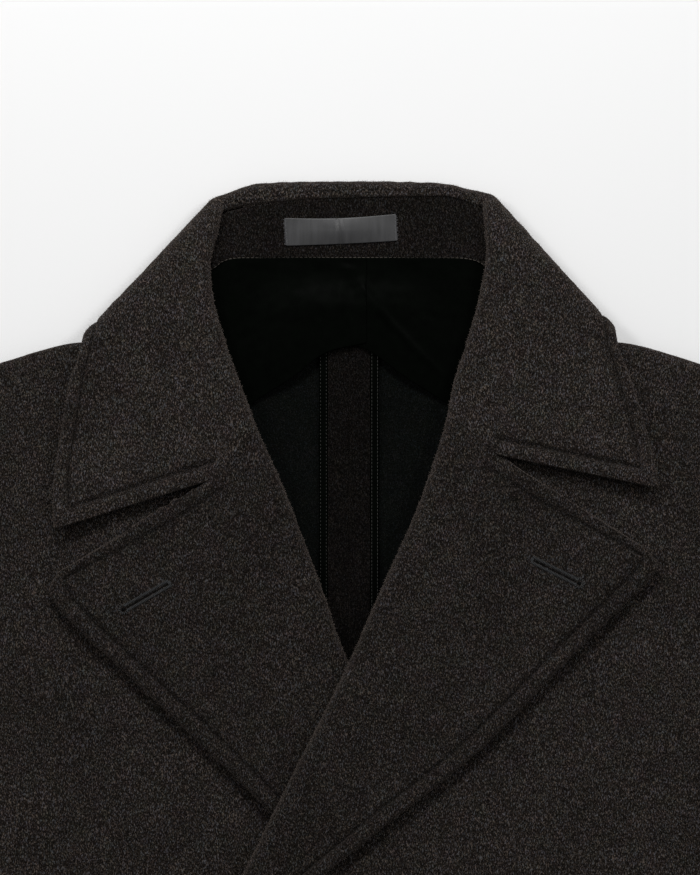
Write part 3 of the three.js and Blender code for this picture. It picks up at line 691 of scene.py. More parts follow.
def noise(tree, vector, scale, detail=2.0, roughness=0.5):
    return make(tree, "ShaderNodeTexNoise", Vector=vector, Scale=scale, Detail=detail,
                Roughness=roughness).outputs["Fac"]


def stretched(tree, vector, turn, stretch):
    return make(tree, "ShaderNodeMapping", Vector=vector, Rotation=(0, 0, math.radians(turn)),
                Scale=(1, stretch, 1)).outputs["Vector"]


def ramp(tree, value, low, high):
    """0 up to low, 1 from high."""
    return make(tree, "ShaderNodeMapRange", Value=value, input1=low, input2=high).outputs["Result"]


def math_node(tree, operation, a, b):
    return make(tree, "ShaderNodeMath", operation=operation, input0=a, input1=b).outputs[0]


def blend(tree, share, a, b, kind="MIX"):
    node = tree.nodes.new("ShaderNodeMix")
    node.data_type = "RGBA"
    node.blend_type = kind
    for socket, value in ((node.inputs[0], share), (node.inputs[6], a), (node.inputs[7], b)):
        if isinstance(value, bpy.types.NodeSocket):
            tree.links.new(value, socket)
        else:
            socket.default_value = value
    return node.outputs[2]


def linear(colour):
    """An sRGB colour of 0 to 255 as a linear RGBA one."""
    values = [c / 255 for c in colour]
    return [c / 12.92 if c <= 0.04045 else ((c + 0.055) / 1.055) ** 2.4 for c in values] + [1.0]


def bump(tree, shader, height, strength, distance):
    normal = make(tree, "ShaderNodeBump", Height=height, Strength=strength, Distance=distance * MM)
    tree.links.new(normal.outputs["Normal"], shader.inputs["Normal"])


TROUGH_SHADE_STRENGTH = 0.38  # painted shade: how much darker the melton is painted in the topstitching troughs, standing in for their shadow as well as the nap pressed flat there


def melton(name, dark, middle, fleck, sheen=0.3):
    """Felted wool: a dark ground with brown and blue-grey fibres, and broad soft mottling."""
    finish, tree, shader = tree_of(name)
    place = make(tree, "ShaderNodeTexCoord").outputs["Object"]
    grain = noise(tree, place, 1850, 1, 0.6)
    fibre = noise(tree, stretched(tree, place, 24, 0.42), 2050, 1, 0.5)
    other_fibre = noise(tree, stretched(tree, place, -52, 0.42), 1800, 1, 0.5)
    mottle = make(tree, "ShaderNodeTexNoise", Vector=place, Scale=120, Detail=5, Roughness=0.65)
    broad = noise(tree, place, 30, 2, 0.5)
    level, warm = fleck[1], fleck[0] - fleck[1]
    brown = linear((level + 0.9 * warm, level, level - 0.7 * warm))
    grey = linear((level, level, level + 0.3 * warm))
    shade = blend(tree, ramp(tree, grain, 0.36, 0.66), linear(dark), linear(middle))
    shade = blend(tree, math_node(tree, "MULTIPLY", ramp(tree, fibre, 0.56, 0.74), 0.8), shade, brown)
    shade = blend(tree, math_node(tree, "MULTIPLY", ramp(tree, other_fibre, 0.57, 0.75), 0.8), shade, grey)
    shade = blend(tree, 0.28, shade, mottle.outputs["Fac"], "OVERLAY")
    shade = blend(tree, 0.15, shade, mottle.outputs["Color"], "OVERLAY")
    shade = blend(tree, math_node(tree, "MULTIPLY", ramp(tree, broad, 0.4, 0.7), 0.2), shade, linear(dark))
    # Painted shade: the melton is painted darker where the shell marks the topstitching troughs, for their
    # shadow and pressed nap.
    groove = make(tree, "ShaderNodeAttribute", attribute_name="groove").outputs["Fac"]
    shade = blend(tree, math_node(tree, "MULTIPLY", groove, TROUGH_SHADE_STRENGTH), shade, linear((0, 0, 0)))
    tree.links.new(shade, shader.inputs["Base Color"])
    shader.inputs["Roughness"].default_value = 0.95
    shader.inputs["Specular IOR Level"].default_value = 0.02
    shader.inputs["Sheen Weight"].default_value = sheen
    shader.inputs["Sheen Roughness"].default_value = 0.35
    shader.inputs["Sheen Tint"].default_value = linear((150, 137, 129))
    height = math_node(tree, "ADD", grain, math_node(tree, "MULTIPLY", fibre, 0.6))
    height = math_node(tree, "ADD", height, math_node(tree, "MULTIPLY", other_fibre, 0.6))
    bump(tree, shader, height, 0.9, 0.7)
    return finish


def sateen(name, colour, roughness, shine):
    """Black sateen: fine diagonal lines of floating threads and a soft sheen."""
    finish, tree, shader = tree_of(name)
    place = make(tree, "ShaderNodeTexCoord").outputs["Object"]
    lines = noise(tree, stretched(tree, place, 62, 0.05), 3200, 1, 0.4)
    slub = noise(tree, place, 180, 3, 0.6)
    shade = blend(tree, ramp(tree, slub, 0.3, 0.75), linear(colour), linear([c * 1.7 for c in colour]))
    tree.links.new(shade, shader.inputs["Base Color"])
    shader.inputs["Roughness"].default_value = roughness
    shader.inputs["Specular IOR Level"].default_value = shine
    shader.inputs["Anisotropic"].default_value = 0.3
    bump(tree, shader, lines, 0.35, 0.12)
    return finish


def satin_label(name, colour):
    """Woven satin: fine ribs along the label and a soft streaky sheen."""
    finish, tree, shader = tree_of(name)
    place = make(tree, "ShaderNodeTexCoord").outputs["Object"]
    ribs = noise(tree, stretched(tree, place, 90, 0.03), 2600, 1, 0.4)
    streaks = noise(tree, stretched(tree, place, 0, 0.12), 320, 2, 0.5)
    shade = blend(tree, ramp(tree, streaks, 0.35, 0.7), linear([c * 0.86 for c in colour]),
                  linear([min(255, c * 1.14) for c in colour]))
    tree.links.new(shade, shader.inputs["Base Color"])
    shader.inputs["Roughness"].default_value = 0.42
    shader.inputs["Anisotropic"].default_value = 0.4
    bump(tree, shader, ribs, 0.4, 0.1)
    return finish


def thread_finish(name, colour):
    finish, tree, shader = tree_of(name)
    place = make(tree, "ShaderNodeTexCoord").outputs["Object"]
    twist = noise(tree, place, 4200, 1, 0.5)
    dark, light = [c * 0.75 for c in colour], [min(255, c * 1.3) for c in colour]
    shade = blend(tree, twist, linear(dark), linear(light))
    tree.links.new(shade, shader.inputs["Base Color"])
    shader.inputs["Roughness"].default_value = 0.7
    shader.inputs["Specular IOR Level"].default_value = 0.06
    bump(tree, shader, twist, 0.4, 0.08)
    return finish


def horn(name, colour):
    """Polished horn: streaks of lighter brown in near black."""
    finish, tree, shader = tree_of(name)
    place = make(tree, "ShaderNodeTexCoord").outputs["Object"]
    streak = noise(tree, stretched(tree, place, 35, 0.2), 260, 4, 0.6)
    shade = blend(tree, ramp(tree, streak, 0.45, 0.72), linear(colour), linear([c * 2.2 for c in colour]))
    tree.links.new(shade, shader.inputs["Base Color"])
    shader.inputs["Roughness"].default_value = 0.28
    shader.inputs["Coat Weight"].default_value = 0.25
    shader.inputs["Coat Roughness"].default_value = 0.15
    bump(tree, shader, noise(tree, place, 900, 3, 0.6), 0.12, 0.1)
    return finish


# Building pieces

GRIDS = {}


def finish_piece(name, bm, finish, nodes=()):
    """Puts a bmesh in millimetres into the scene as a finished piece in metres."""
    mesh = bpy.data.meshes.new(name)
    bm.to_mesh(mesh)
    bm.free()
    mesh.transform(Matrix.Translation((0, NECK_Y, 0)) @ Matrix.Scale(MM, 4))
    mesh.polygons.foreach_set("use_smooth", [True] * len(mesh.polygons))
    mesh.materials.append(finish)
    piece = bpy.data.objects.new(name, mesh)
    bpy.context.scene.collection.objects.link(piece)
    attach(piece, "root")
    if nodes:
        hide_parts(*nodes)
    return piece


def edge_reach(grid, axis):
    """How far each place is along the cloth from the first and from the last row or column."""
    steps = np.linalg.norm(np.diff(grid, axis=axis), axis=-1)
    reached = np.cumsum(steps, axis=axis)
    start = np.zeros_like(np.take(reached, [0], axis=axis))
    reached = np.concatenate([start, reached], axis=axis)
    return reached, np.take(reached, [-1], axis=axis) - reached


def rounded(reach, radius):
    """A rounded edge's share of the thickness."""
    return np.sqrt(1 - (1 - np.clip(reach / radius, 0, 1)) ** 2)


def shell(name, grid, thickness, rounds, finish, nodes=(), relief=None, up=(0, -1), felt=0.12):
    """A closed piece of cloth around a grid of its middle, with rounded edges.

    rounds gives the radius of the first and last column's edge and of the first and last row's. up is a
    place whose outer face looks up. relief is added to the outer face.
    """
    along, across = np.gradient(grid, axis=0), np.gradient(grid, axis=1)
    normal = unit(np.cross(across, along) + 1e-12)
    if normal[up][2] < 0:
        normal = -normal
    first_col, last_col = edge_reach(grid, 1)
    first_row, last_row = edge_reach(grid, 0)
    half = thickness / 2
    for reach, radius in zip((first_col, last_col, first_row, last_row), rounds):
        half = half * rounded(reach, radius)
    inner = np.minimum(np.minimum(first_col, last_col), np.minimum(first_row, last_row))
    fade = smooth(inner / 2)
    raised = felt * felt_waves(grid[..., 0] + grid[..., 2], grid[..., 1])
    if relief is not None:
        raised = raised + relief
    outer = grid + normal * (half + raised * fade)[..., None]
    under = grid - normal * half[..., None]
    rows, cols = grid.shape[:2]
    # Painted shade: each outer vertex keeps how deep its trough is, and the melton paints it darker by that
    # much.
    groove = np.zeros((rows, cols)) if relief is None else np.clip(-relief, 0, 1)
    bm = bmesh.new()
    trough_shade_layer = bm.verts.layers.float.new("groove")
    for layer in (outer, under):
        made = bmesh.ops.create_grid(bm, x_segments=cols - 1, y_segments=rows - 1, size=0.5)["verts"]
        for vert in made:
            i, j = round((vert.co.y + 0.5) * (rows - 1)), round((vert.co.x + 0.5) * (cols - 1))
            vert.co = layer[i, j]
            vert[trough_shade_layer] = groove[i, j] if layer is outer else 0
        if layer is under:
            faces = {face for vert in made for face in vert.link_faces}
            bmesh.ops.reverse_faces(bm, faces=list(faces))
    bmesh.ops.remove_doubles(bm, verts=bm.verts, dist=1e-4)
    bmesh.ops.recalc_face_normals(bm, faces=bm.faces)
    GRIDS[name] = {"outer": outer, "normal": normal}
    return finish_piece(name, bm, finish, nodes)


def copies(shape, transforms):
    """Repeats a small closed shape, once for each matrix."""
    mesh = bpy.data.meshes.new("copies")
    shape.to_mesh(mesh)
    shape.free()
    bm = bmesh.new()
    bm.from_mesh(mesh)
    small = len(bm.verts)
    while len(bm.verts) < small * len(transforms):
        room = small * len(transforms) - len(bm.verts)
        bm.verts.ensure_lookup_table()
        source = bm.verts[:min(room, len(bm.verts))]
        inside = set(source)
        edges = [e for e in bm.edges if e.verts[0] in inside and e.verts[1] in inside]
        faces = [f for f in bm.faces if all(v in inside for v in f.verts)]
        bmesh.ops.duplicate(bm, geom=source + edges + faces)
    bm.to_mesh(mesh)
    bm.free()
    places_now = np.empty(3 * len(mesh.vertices), np.float32)
    mesh.vertices.foreach_get("co", places_now)
    places_now = places_now.reshape(-1, small, 3)
    if not np.allclose(places_now, places_now[:1]):
        raise RuntimeError("the copies' corners are out of order")
    matrices = np.array(transforms)
    placed = np.einsum("nij,nkj->nki", matrices[:, :3, :3], places_now) + matrices[:, None, :3, 3]
    mesh.vertices.foreach_set("co", placed.astype(np.float32).ravel())
    made = bmesh.new()
    made.from_mesh(mesh)
    bpy.data.meshes.remove(mesh)
    return made


def aligned(at, direction, up, scale):
    """A matrix that lays a unit shape's X along a direction with its Z up."""
    x = unit(np.asarray(direction, float))
    z = unit(np.asarray(up, float))
    y = unit(np.cross(z, x))
    z = np.cross(x, y)
    matrix = np.eye(4)
    matrix[:3, :3] = np.stack([x, y, z], 1) * np.asarray(scale)
    matrix[:3, 3] = at
    return matrix


def bead():
    bm = bmesh.new()
    bmesh.ops.create_icosphere(bm, subdivisions=1, radius=1)
    return bm


def length_property(name, description, default, low, high):
    """A length of so many millimetres, shown in the scene's unit."""
    return FloatProperty(name=name, description=description, default=default * MM, min=low * MM,
                         max=high * MM, precision=4, subtype="DISTANCE", unit="LENGTH")


class CoatSizes(PropertyGroup):
    """Sizes that a user would change."""

    stitch_inset: length_property("Topstitch inset", "From the edge to the topstitching", 8.8, 4, 14)
    stitch_pitch: length_property("Stitch pitch", "From one topstitch to the next", 3.2, 2, 6)
    stitch_width: length_property("Thread width", "Width of the topstitching thread", 0.5, 0.2, 1)
    trough: length_property("Trough depth", "How deep the topstitching pulls the cloth in", 1.7, 0, 2.5)
    hole_length: length_property("Buttonhole length", "Length of a buttonhole", 29, 20, 36)
    button_radius: length_property("Button radius", "Radius of a button", 14.5, 8, 20)
    button_thickness: length_property("Button thickness", "Thickness of a button", 4.4, 2, 6)
    nap_length: length_property("Nap length", "Length of the longest loose fibres", 1.5, 0, 4)


class CoatNap(PropertyGroup):
    """How many loose fibres stand off the melton."""

    count: IntProperty(name="Nap fibres", description="Loose fibres on each part of the coat",
                       default=16000, min=0, max=40000, subtype="UNSIGNED")


def colour_property(name, description, default):
    """A colour given as sRGB values from 0 to 255."""
    return FloatVectorProperty(name=name, description=description, default=[c / 255 for c in default],
                               size=3, min=0, max=1, subtype="COLOR_GAMMA")


class CoatColours(PropertyGroup):
    """Colours of the cloth and trimmings."""

    dark: colour_property("Melton ground", "Darkest colour of the melton", (7, 6, 5))
    middle: colour_property("Melton fibres", "Main colour of the melton", (38, 33, 30))
    fleck: colour_property("Melton flecks", "Pale fibres in the melton", (103, 92, 84))
    # Painted shade: the melton of the back's inner side, painted far darker than the outside for the shade
    # inside the coat.
    inside: colour_property("Melton inside", "Main colour of the melton's inner side", (12, 14, 12))
    lining: colour_property("Lining", "Black sateen", (2, 3, 2))
    label: colour_property("Label", "Grey satin of the label", (44, 44, 45))
    button: colour_property("Buttons", "Dark horn of the buttons", (26, 22, 19))
    thread: colour_property("Thread", "Topstitching thread", (13, 12, 11))
    floor: colour_property("Floor", "The plain pale floor", (232, 232, 232))


def sizes():
    """The sizes in millimetres."""
    group = bpy.context.scene.coat_sizes
    return SimpleNamespace(**{name: getattr(group, name) / MM for name in group.__annotations__})


def colours():
    """The colours as sRGB values from 0 to 255."""
    group = bpy.context.scene.coat_colours
    values = {name: getattr(group, name) for name in group.__annotations__}
    return SimpleNamespace(**{name: [255 * v for v in colour] for name, colour in values.items()})


def shared(name, build):
    """A finish that several pieces share, built once."""
    return bpy.data.materials.get(name) or build(name)


# Painted light and shade: each part gets its own copy of the melton, the lapels and body painted darker than
# the collar for the shade they lie in
SHADE_TONES = {"collar": 0.98, "lapel": 0.88, "body": 0.94}


def outer_melton(part):
    c, tone = colours(), SHADE_TONES[part]
    # Painted shade: this part's copy of the melton is darkened by its tone.
    dark, middle, fleck = ([v * tone for v in colour] for colour in (c.dark, c.middle, c.fleck))
    return shared(f"melton_{part}", lambda name: melton(name, dark, middle, fleck))


def shaded_inner_melton():
    # Painted shade: the back panels' inner side, painted darker for the shade inside the coat.
    c = colours()
    dark, fleck = [v * 0.4 for v in c.inside], [v * 1.8 for v in c.inside]
    return shared("melton_inside", lambda name: melton(name, dark, c.inside, fleck, 0.05))


def shaded_melton(part, ground, flecks):
    """The outer melton painted darker where it lies deep inside the coat, as painted shade, with shares of
    its ground's and flecks' tones.
    """
    c = colours()
    dark, middle, fleck = ([v * share for v in tone]
                           for tone, share in ((c.dark, ground), (c.middle, ground), (c.fleck, flecks)))
    return shared(f"melton_{part}", lambda name: melton(name, dark, middle, fleck, 0.1))


def lining_finish():
    return shared("sateen", lambda name: sateen(name, colours().lining, 0.4, 0.009))


def binding_finish():
    return shared("binding", lambda name: sateen(name, colours().lining, 0.4, 0.009))


def topstitch_thread():
    return shared("topstitch_thread", lambda name: thread_finish(name, colours().thread))


# Topstitching: a shallow trough in the outer face, and a row of stitches in it

def trough(*reaches):
    """The relief of topstitching at the inset from the nearest of the edges."""
    s = sizes()
    near = np.minimum.reduce(reaches)
    off = near - s.stitch_inset
    puff = 0.4 * np.sin(math.pi * np.clip(near / s.stitch_inset, 0, 1))
    return puff - s.trough * (0.7 * np.exp(-((off / 1.0) ** 2)) + 0.3 * np.exp(-((off / 2.8) ** 2)))


def crossing(grid, reach, level, axis, keep):
    """Points of a grid where reach passes level, along each row (axis 1) or column (axis 0)."""
    outer, normal = grid["outer"], grid["normal"]
    if axis == 0:
        outer, normal, reach, keep = (np.swapaxes(a, 0, 1) for a in (outer, normal, reach, keep))
    points = []
    for p, n, r, k in zip(outer, normal, reach, keep):
        hits = np.nonzero((r[:-1] - level) * (r[1:] - level) <= 0)[0]
        hits = [h for h in hits if k[h]]
        if hits:
            h = hits[-1]
            share = (level - r[h]) / (r[h + 1] - r[h] + 1e-12)
            points.append(np.concatenate([mix(p[h], p[h + 1], share), unit(mix(n[h], n[h + 1], share))]))
    return np.array(points)


def stitch_places(path, pitch, width, stitch_share=0.74, sunk=0.08):
    """Matrices of the stitches along a path of points and normals."""
    total = length(path[:, :3])
    count = int(total / pitch)
    middles = (np.arange(count) + 0.5) / count
    here, ahead, behind = (on(path, np.clip(middles + d, 0, 1)) for d in (0, 0.2 / count, -0.2 / count))
    half = pitch * stitch_share / 2
    return [aligned(h[:3] - h[3:] * sunk, a[:3] - b[:3], h[3:], (half, width / 2, width / 2))
            for h, a, b in zip(here, ahead, behind)]


def stitch_piece(name, transforms, finish):
    return finish_piece(name, copies(bead(), transforms), finish)


STITCHES = []
LAPEL_RELIEF = 0.72  # the lapels' topstitching pulls in less than the collar's


def topstitch(grid, reach, axis, keep, inset=None):
    """Adds topstitches where reach is the inset from an edge, along the grid's other direction."""
    s = sizes()
    path = crossing(grid, reach, inset or s.stitch_inset, axis, keep)
    STITCHES.extend(stitch_places(path, s.stitch_pitch, s.stitch_width))


class COAT_OT_collar(Operator):
    """Makes the collar, with its leaf, its roll and the turned edge of its fall"""

    bl_idname = "coat.collar"
    bl_label = "Collar"

    def execute(self, context):
        grid, t = collar_grid()
        _, from_edge = edge_reach(grid, 1)
        from_start, from_end = edge_reach(grid, 0)
        ends = np.minimum(from_start, from_end)
        leaf = np.zeros(grid.shape[:2], bool)
        leaf[:, NOTCH_COLUMN:] = True
        ends = np.where(leaf, ends, 99)
        relief = trough(from_edge, ends)
        piece = shell("collar_cloth", grid, DOUBLE, LEAF_ROUNDS, outer_melton("collar"),
                      ["collar"], relief)
        level = sizes().stitch_inset
        made = GRIDS["collar_cloth"]
        shown = (t < 4.6) | (t > 7.4)
        for half in (t < 6, t > 6):
            topstitch(made, from_edge, 1, leaf & (ends > level) & (shown & half)[:, None])
            reach = from_start if half[0] else from_end
            topstitch(made, reach, 0, leaf & (from_edge > level) & half[:, None])
        GRIDS["collar_ends"] = {-1: grid[0].copy(), 1: grid[-1].copy()}
        return {"FINISHED"}


class COAT_OT_lapels(Operator):
    """Makes the two lapels, which turn back from the gorge seam to the break"""

    bl_idname = "coat.lapels"
    bl_label = "Lapels"

    def execute(self, context):
        level = sizes().stitch_inset
        for word, side in SIDES.items():
            grid = lapel_grid(side, GRIDS["collar_ends"][side])
            _, from_edge = edge_reach(grid, 1)
            from_top, _ = edge_reach(grid, 0)
            leaf = np.zeros(grid.shape[:2], bool)
            leaf[:, NOTCH_COLUMN:] = True
            top = np.where(leaf, from_top, 99)
            relief = LAPEL_RELIEF * trough(from_edge, top)
            name = f"lapel_{word}_cloth"
            piece = shell(name, grid, DOUBLE, LEAF_ROUNDS, outer_melton("lapel"),
                          [f"lapel_{word}"], relief)
            topstitch(GRIDS[name], from_edge, 1, leaf & (top > level))
            topstitch(GRIDS[name], from_top, 0, leaf & (from_edge > level))
        return {"FINISHED"}


class COAT_OT_body(Operator):
    """Makes the two fronts and the two backs"""

    bl_idname = "coat.body"
    bl_label = "Fronts and backs"

    def execute(self, context):
        for word, side in SIDES.items():
            grid = front_grid(side)
            from_edge, _ = edge_reach(grid, 1)
            below = (grid[..., 1] < BREAK_Y - 12)
            relief = trough(np.where(below, from_edge, 99))
            name = f"front_{word}_cloth"
            piece = shell(name, grid, CLOTH, (1.1, 0.7, 0.5, 1.1), outer_melton("body"),
                          [f"front_{word}"], relief, up=(60, 40))
            if side > 0:
                topstitch(GRIDS[name], from_edge, 1, below)
            grid = back_grid(side)
            piece = shell(f"back_{word}_cloth", grid, CLOTH, (0.05, 0.7, 0.5, 1.1), shaded_inner_melton(),
                          [f"back_{word}"], up=(60, 40), felt=0.05)
        return {"FINISHED"}


class COAT_OT_sleeves(Operator):
    """Makes the upper and under pieces of both sleeves"""

    bl_idname = "coat.sleeves"
    bl_label = "Sleeves"

    def execute(self, context):
        for word, side in SIDES.items():
            for layer, which in ((1, "upper"), (-1, "under")):
                grid = sleeve_grid(side, layer)
                name = f"{which}_sleeve_{word}"
                piece = shell(name + "_cloth", grid, CLOTH, (0.7, 0.7, 0.6, 1.1), outer_melton("body"),
                              [name], up=(50, 30))
        return {"FINISHED"}


class COAT_OT_welts(Operator):
    """Makes the slanted pocket welts"""

    bl_idname = "coat.welts"
    bl_label = "Pocket welts"

    def execute(self, context):
        inset = 0.6 * sizes().stitch_inset
        for word, side in SIDES.items():
            grid = welt_grid(side)
            reaches = edge_reach(grid, 1) + edge_reach(grid, 0)
            near = np.minimum.reduce(reaches)
            name = f"pocket_welt_{word}_cloth"
            relief = -0.35 * np.exp(-(((near - inset) / 0.8) ** 2))
            piece = shell(name, grid, CLOTH, (1.1, 1.1, 1.1, 1.1), outer_melton("body"),
                          [f"pocket_welt_{word}"], relief, up=(30, 10))
            for axis, own, other in ((1, reaches[0], reaches[2:]), (1, reaches[1], reaches[2:]),
                                     (0, reaches[2], reaches[:2]), (0, reaches[3], reaches[:2])):
                topstitch(GRIDS[name], own, axis, np.minimum(*other) > inset, inset)
        return {"FINISHED"}


class COAT_OT_stand(Operator):
    """Makes the collar stand inside the back of the neck, and the blank label sewn to it"""

    bl_idname = "coat.stand"
    bl_label = "Stand and label"

    def execute(self, context):
        # Painted shade: the stand's melton is painted darker for the shade at the back of the neck.
        finish = shaded_melton("stand", 0.6, 0.55)
        piece = shell("collar_stand_cloth", stand_grid(), CLOTH, (0.6, 0.6, 0.5, 0.6), finish,
                      ["collar_stand"], up=(10, 60), felt=0.08)
        finish = shared("satin", lambda name: satin_label(name, colours().label))
        piece = shell("label_cloth", label_grid(), 0.5, (0.3, 0.3, 0.3, 0.3), finish, ["label"],
                      up=(12, 40), felt=0.0)
        return {"FINISHED"}


class COAT_OT_lining(Operator):
    """Makes the two halves of the yoke lining, which cross at the centre of the back"""

    bl_idname = "coat.lining"
    bl_label = "Yoke lining"

    def execute(self, context):
        for word, side in SIDES.items():
            name = f"yoke_lining_{word}"
            piece = shell(name + "_cloth", lining_grid(side), 0.7, (0.4, 0.4, 0.4, 0.5), lining_finish(),
                          [name], up=(20, 40), felt=0.06)
        return {"FINISHED"}


class COAT_OT_centre_seam(Operator):
    """Makes the pressed-open seam down the centre of the back, and the bindings of its edges"""

    bl_idname = "coat.centre_seam"
    bl_label = "Centre back seam"

    def execute(self, context):
        for word, side in SIDES.items():
            outer = side * SEAM_ALLOWANCE
            # Painted shade: the allowances' melton is painted darker for the shade inside the coat.
            allowance = shell(f"seam_allowance_{word}_cloth", strip_grid(side * 0.12, outer, CLOTH), CLOTH,
                              (0.9, 0.5, 0.5, 0.5), shaded_melton("allowance", 0.42, 0.38),
                              [f"seam_allowance_{word}"], up=(50, 4), felt=0.05)
            start = side * (SEAM_ALLOWANCE + 0.1)
            grid = strip_grid(start, start + side * BINDING_WIDTH, BINDING_THICKNESS - 0.6, edge=1.2)
            binding = shell(f"seam_binding_{word}_cloth", grid, BINDING_THICKNESS - 0.6,
                            (1.2, 1.2, 0.5, 0.5), binding_finish(), [f"seam_binding_{word}"],
                            up=(50, 4), felt=0.05)
        return {"FINISHED"}


def button_shape(radius, thickness):
    """A four-hole button with a rounded rim around a sunk dish."""
    dish = radius - 4.5
    floor = thickness - 1.6
    segments = 48
    bm = bmesh.new()
    profile = [(0, 0), (radius - 2, 0), (radius - 0.6, 0.6), (radius, 1.7), (radius, thickness - 1.2),
               (radius - 0.35, thickness - 0.35), (radius - 1.2, thickness), (radius - 2.6, thickness - 0.15),
               (dish + 0.8, floor + 0.25), (dish, floor)]
    verts = [bm.verts.new((x, 0, z)) for x, z in profile]
    for a, b in zip(verts, verts[1:]):
        bm.edges.new((a, b))
    bmesh.ops.spin(bm, geom=bm.verts[:] + bm.edges[:], cent=(0, 0, 0), axis=(0, 0, 1), angle=math.tau,
                   steps=segments, use_merge=True)
    bmesh.ops.remove_doubles(bm, verts=bm.verts, dist=1e-4)
    rim = [e for e in bm.edges if e.is_boundary]
    holes = []
    for i, j in ((1, 1), (1, -1), (-1, 1), (-1, -1)):
        hole = bmesh.ops.create_circle(bm, segments=14, radius=1.1,
                                       matrix=Matrix.Translation((i * 2.2, j * 2.2, floor)))["verts"]
        holes.append(list({e for v in hole for e in v.link_edges}))
    bmesh.ops.triangle_fill(bm, use_beauty=True, use_dissolve=False, edges=rim + sum(holes, []),
                            normal=(0, 0, 1))
    for edges in holes:
        walls = bmesh.ops.extrude_edge_only(bm, edges=edges)["geom"]
        low = [v for v in walls if isinstance(v, bmesh.types.BMVert)]
        bmesh.ops.translate(bm, verts=low, vec=(0, 0, -2.2))
        bmesh.ops.holes_fill(bm, edges=[e for e in walls if isinstance(e, bmesh.types.BMEdge)], sides=14)
    bmesh.ops.recalc_face_normals(bm, faces=bm.faces)
    return bm


class COAT_OT_buttons(Operator):
    """Makes the six buttons and the crossed thread that holds them"""

    bl_idname = "coat.buttons"
    bl_label = "Buttons"

    def execute(self, context):
        s = sizes()
        finish = shared("polished_horn", lambda name: horn(name, colours().button))
        threads = []
        for word, side in SIDES.items():
            for row, y in enumerate(BUTTON_ROWS, 1):
                node = f"button_{word}_{row}"
                x, base = side * BUTTON_X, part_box(node)[0][2] / MM
                turn = 0.2 * row + side
                bm = button_shape(s.button_radius, s.button_thickness)
                bmesh.ops.rotate(bm, verts=bm.verts, cent=(0, 0, 0), matrix=Matrix.Rotation(turn, 3, "Z"))
                bmesh.ops.translate(bm, verts=bm.verts, vec=(x, y, base))
                finish_piece(node + "_horn", bm, finish, [node])
                top = base + s.button_thickness - 1.45
                for quarter in (1, -1):
                    angle = turn + quarter * math.pi / 4
                    direction = (math.cos(angle), math.sin(angle), 0)
                    for offset in (-0.45, 0, 0.45):
                        height = top + 0.25 * (quarter > 0)
                        at = (x - direction[1] * offset, y + direction[0] * offset, height)
                        threads.append(aligned(at, direction, (0, 0, 1), (3.5, 0.3, 0.38)))
        stitch_piece("button_threads", threads, topstitch_thread())
        return {"FINISHED"}


def surface_under(piece):
    """A function that gives the point and normal of a piece straight below a place in the plan."""
    bm = bmesh.new()
    bm.from_mesh(piece.data)
    tree = BVHTree.FromBMesh(bm)
    bm.free()

    def at(x, y):
        point, normal, _, _ = tree.ray_cast(Vector((x * MM, NECK_Y + y * MM, 0.2)), Vector((0, 0, -1)))
        if point is None:
            raise RuntimeError(f"{piece.name} has nothing at {x:.1f}, {y:.1f}")
        return np.array([x, y, point.z / MM]), np.array(normal)

    return at


def buttonhole(under, start, end, size):
    """Matrices of the purl stitches round a keyhole buttonhole, and of the black beads that paint the shade
    in its slit and eye.
    """
    start, end = np.array(start, float), np.array(end, float)
    ahead = unit(end - start)
    aside = np.array([-ahead[1], ahead[0]])
    end = start + ahead * size
    eye = 1.5
    half = 0.7
    centre = end - ahead * eye
    opening = math.asin(half / eye)
    straight = size - eye - eye * math.cos(opening)
    path = []
    pitch = 0.72
    for share in np.arange(0, straight, pitch):
        path.append((start + ahead * share + aside * half, aside))
    for angle in np.arange(math.pi - opening, -math.pi + opening, -pitch / eye):
        away = ahead * math.cos(angle) + aside * math.sin(angle)
        path.append((centre + away * eye, away))
    for share in np.arange(straight, 0, -pitch):
        path.append((start + ahead * share - aside * half, -aside))
    purls = []
    random = np.random.default_rng(11)
    for place, away in path:
        point, normal = under(*(place + away * 0.75))
        lean = away + random.uniform(-0.12, 0.12) * ahead
        purls.append(aligned(point + normal * 0.25, (*lean, 0), normal, (1.0, 0.28, 0.32)))
    for share in (-0.4, 0.1, 0.6):
        point, normal = under(*(start + ahead * share))
        purls.append(aligned(point + normal * 0.2, (*aside, 0), normal, (1.5, 0.26, 0.3)))
    # Painted shade: near-black beads laid on the uncut cloth where the slit and the eye open, for the shade
    # in them.
    slit = []
    for share in np.arange(1, straight, 1.2):
        point, normal = under(*(start + ahead * share))
        slit.append(aligned(point + normal * 0.05, (*ahead, 0), normal, (1.1, half * 0.5, 0.16)))
    point, normal = under(*centre)
    slit.append(aligned(point + normal * 0.1, (*ahead, 0), normal, (eye * 0.75, eye * 0.75, 0.2)))
    return purls, slit


class COAT_OT_buttonholes(Operator):
    """Sews the keyhole buttonholes of the lapels and of the left front"""

    bl_idname = "coat.buttonholes"
    bl_label = "Buttonholes"

    def execute(self, context):
        s = sizes()
        purls, slit_shades = [], []
        for word, side in SIDES.items():
            under = surface_under(bpy.data.objects[f"lapel_{word}_cloth"])
            made = buttonhole(under, *LAPEL_HOLES[side], s.hole_length)
            purls += made[0]
            slit_shades += made[1]
        under = surface_under(bpy.data.objects["front_left_cloth"])
        for y in BUTTON_ROWS:
            made = buttonhole(under, (-BUTTON_X + 26, y), (-BUTTON_X - 3, y), s.hole_length)
            purls += made[0]
            slit_shades += made[1]
        gimp = shared("buttonhole_thread", lambda name: thread_finish(name, (52, 53, 54)))
        stitch_piece("buttonhole_purls", purls, gimp)
        # Painted shade: the slits' beads are near black, standing in for the shade in the openings.
        stitch_piece("buttonhole_slits", slit_shades, shared("slit", lambda name: thread_finish(name, (4, 4, 4))))
        return {"FINISHED"}


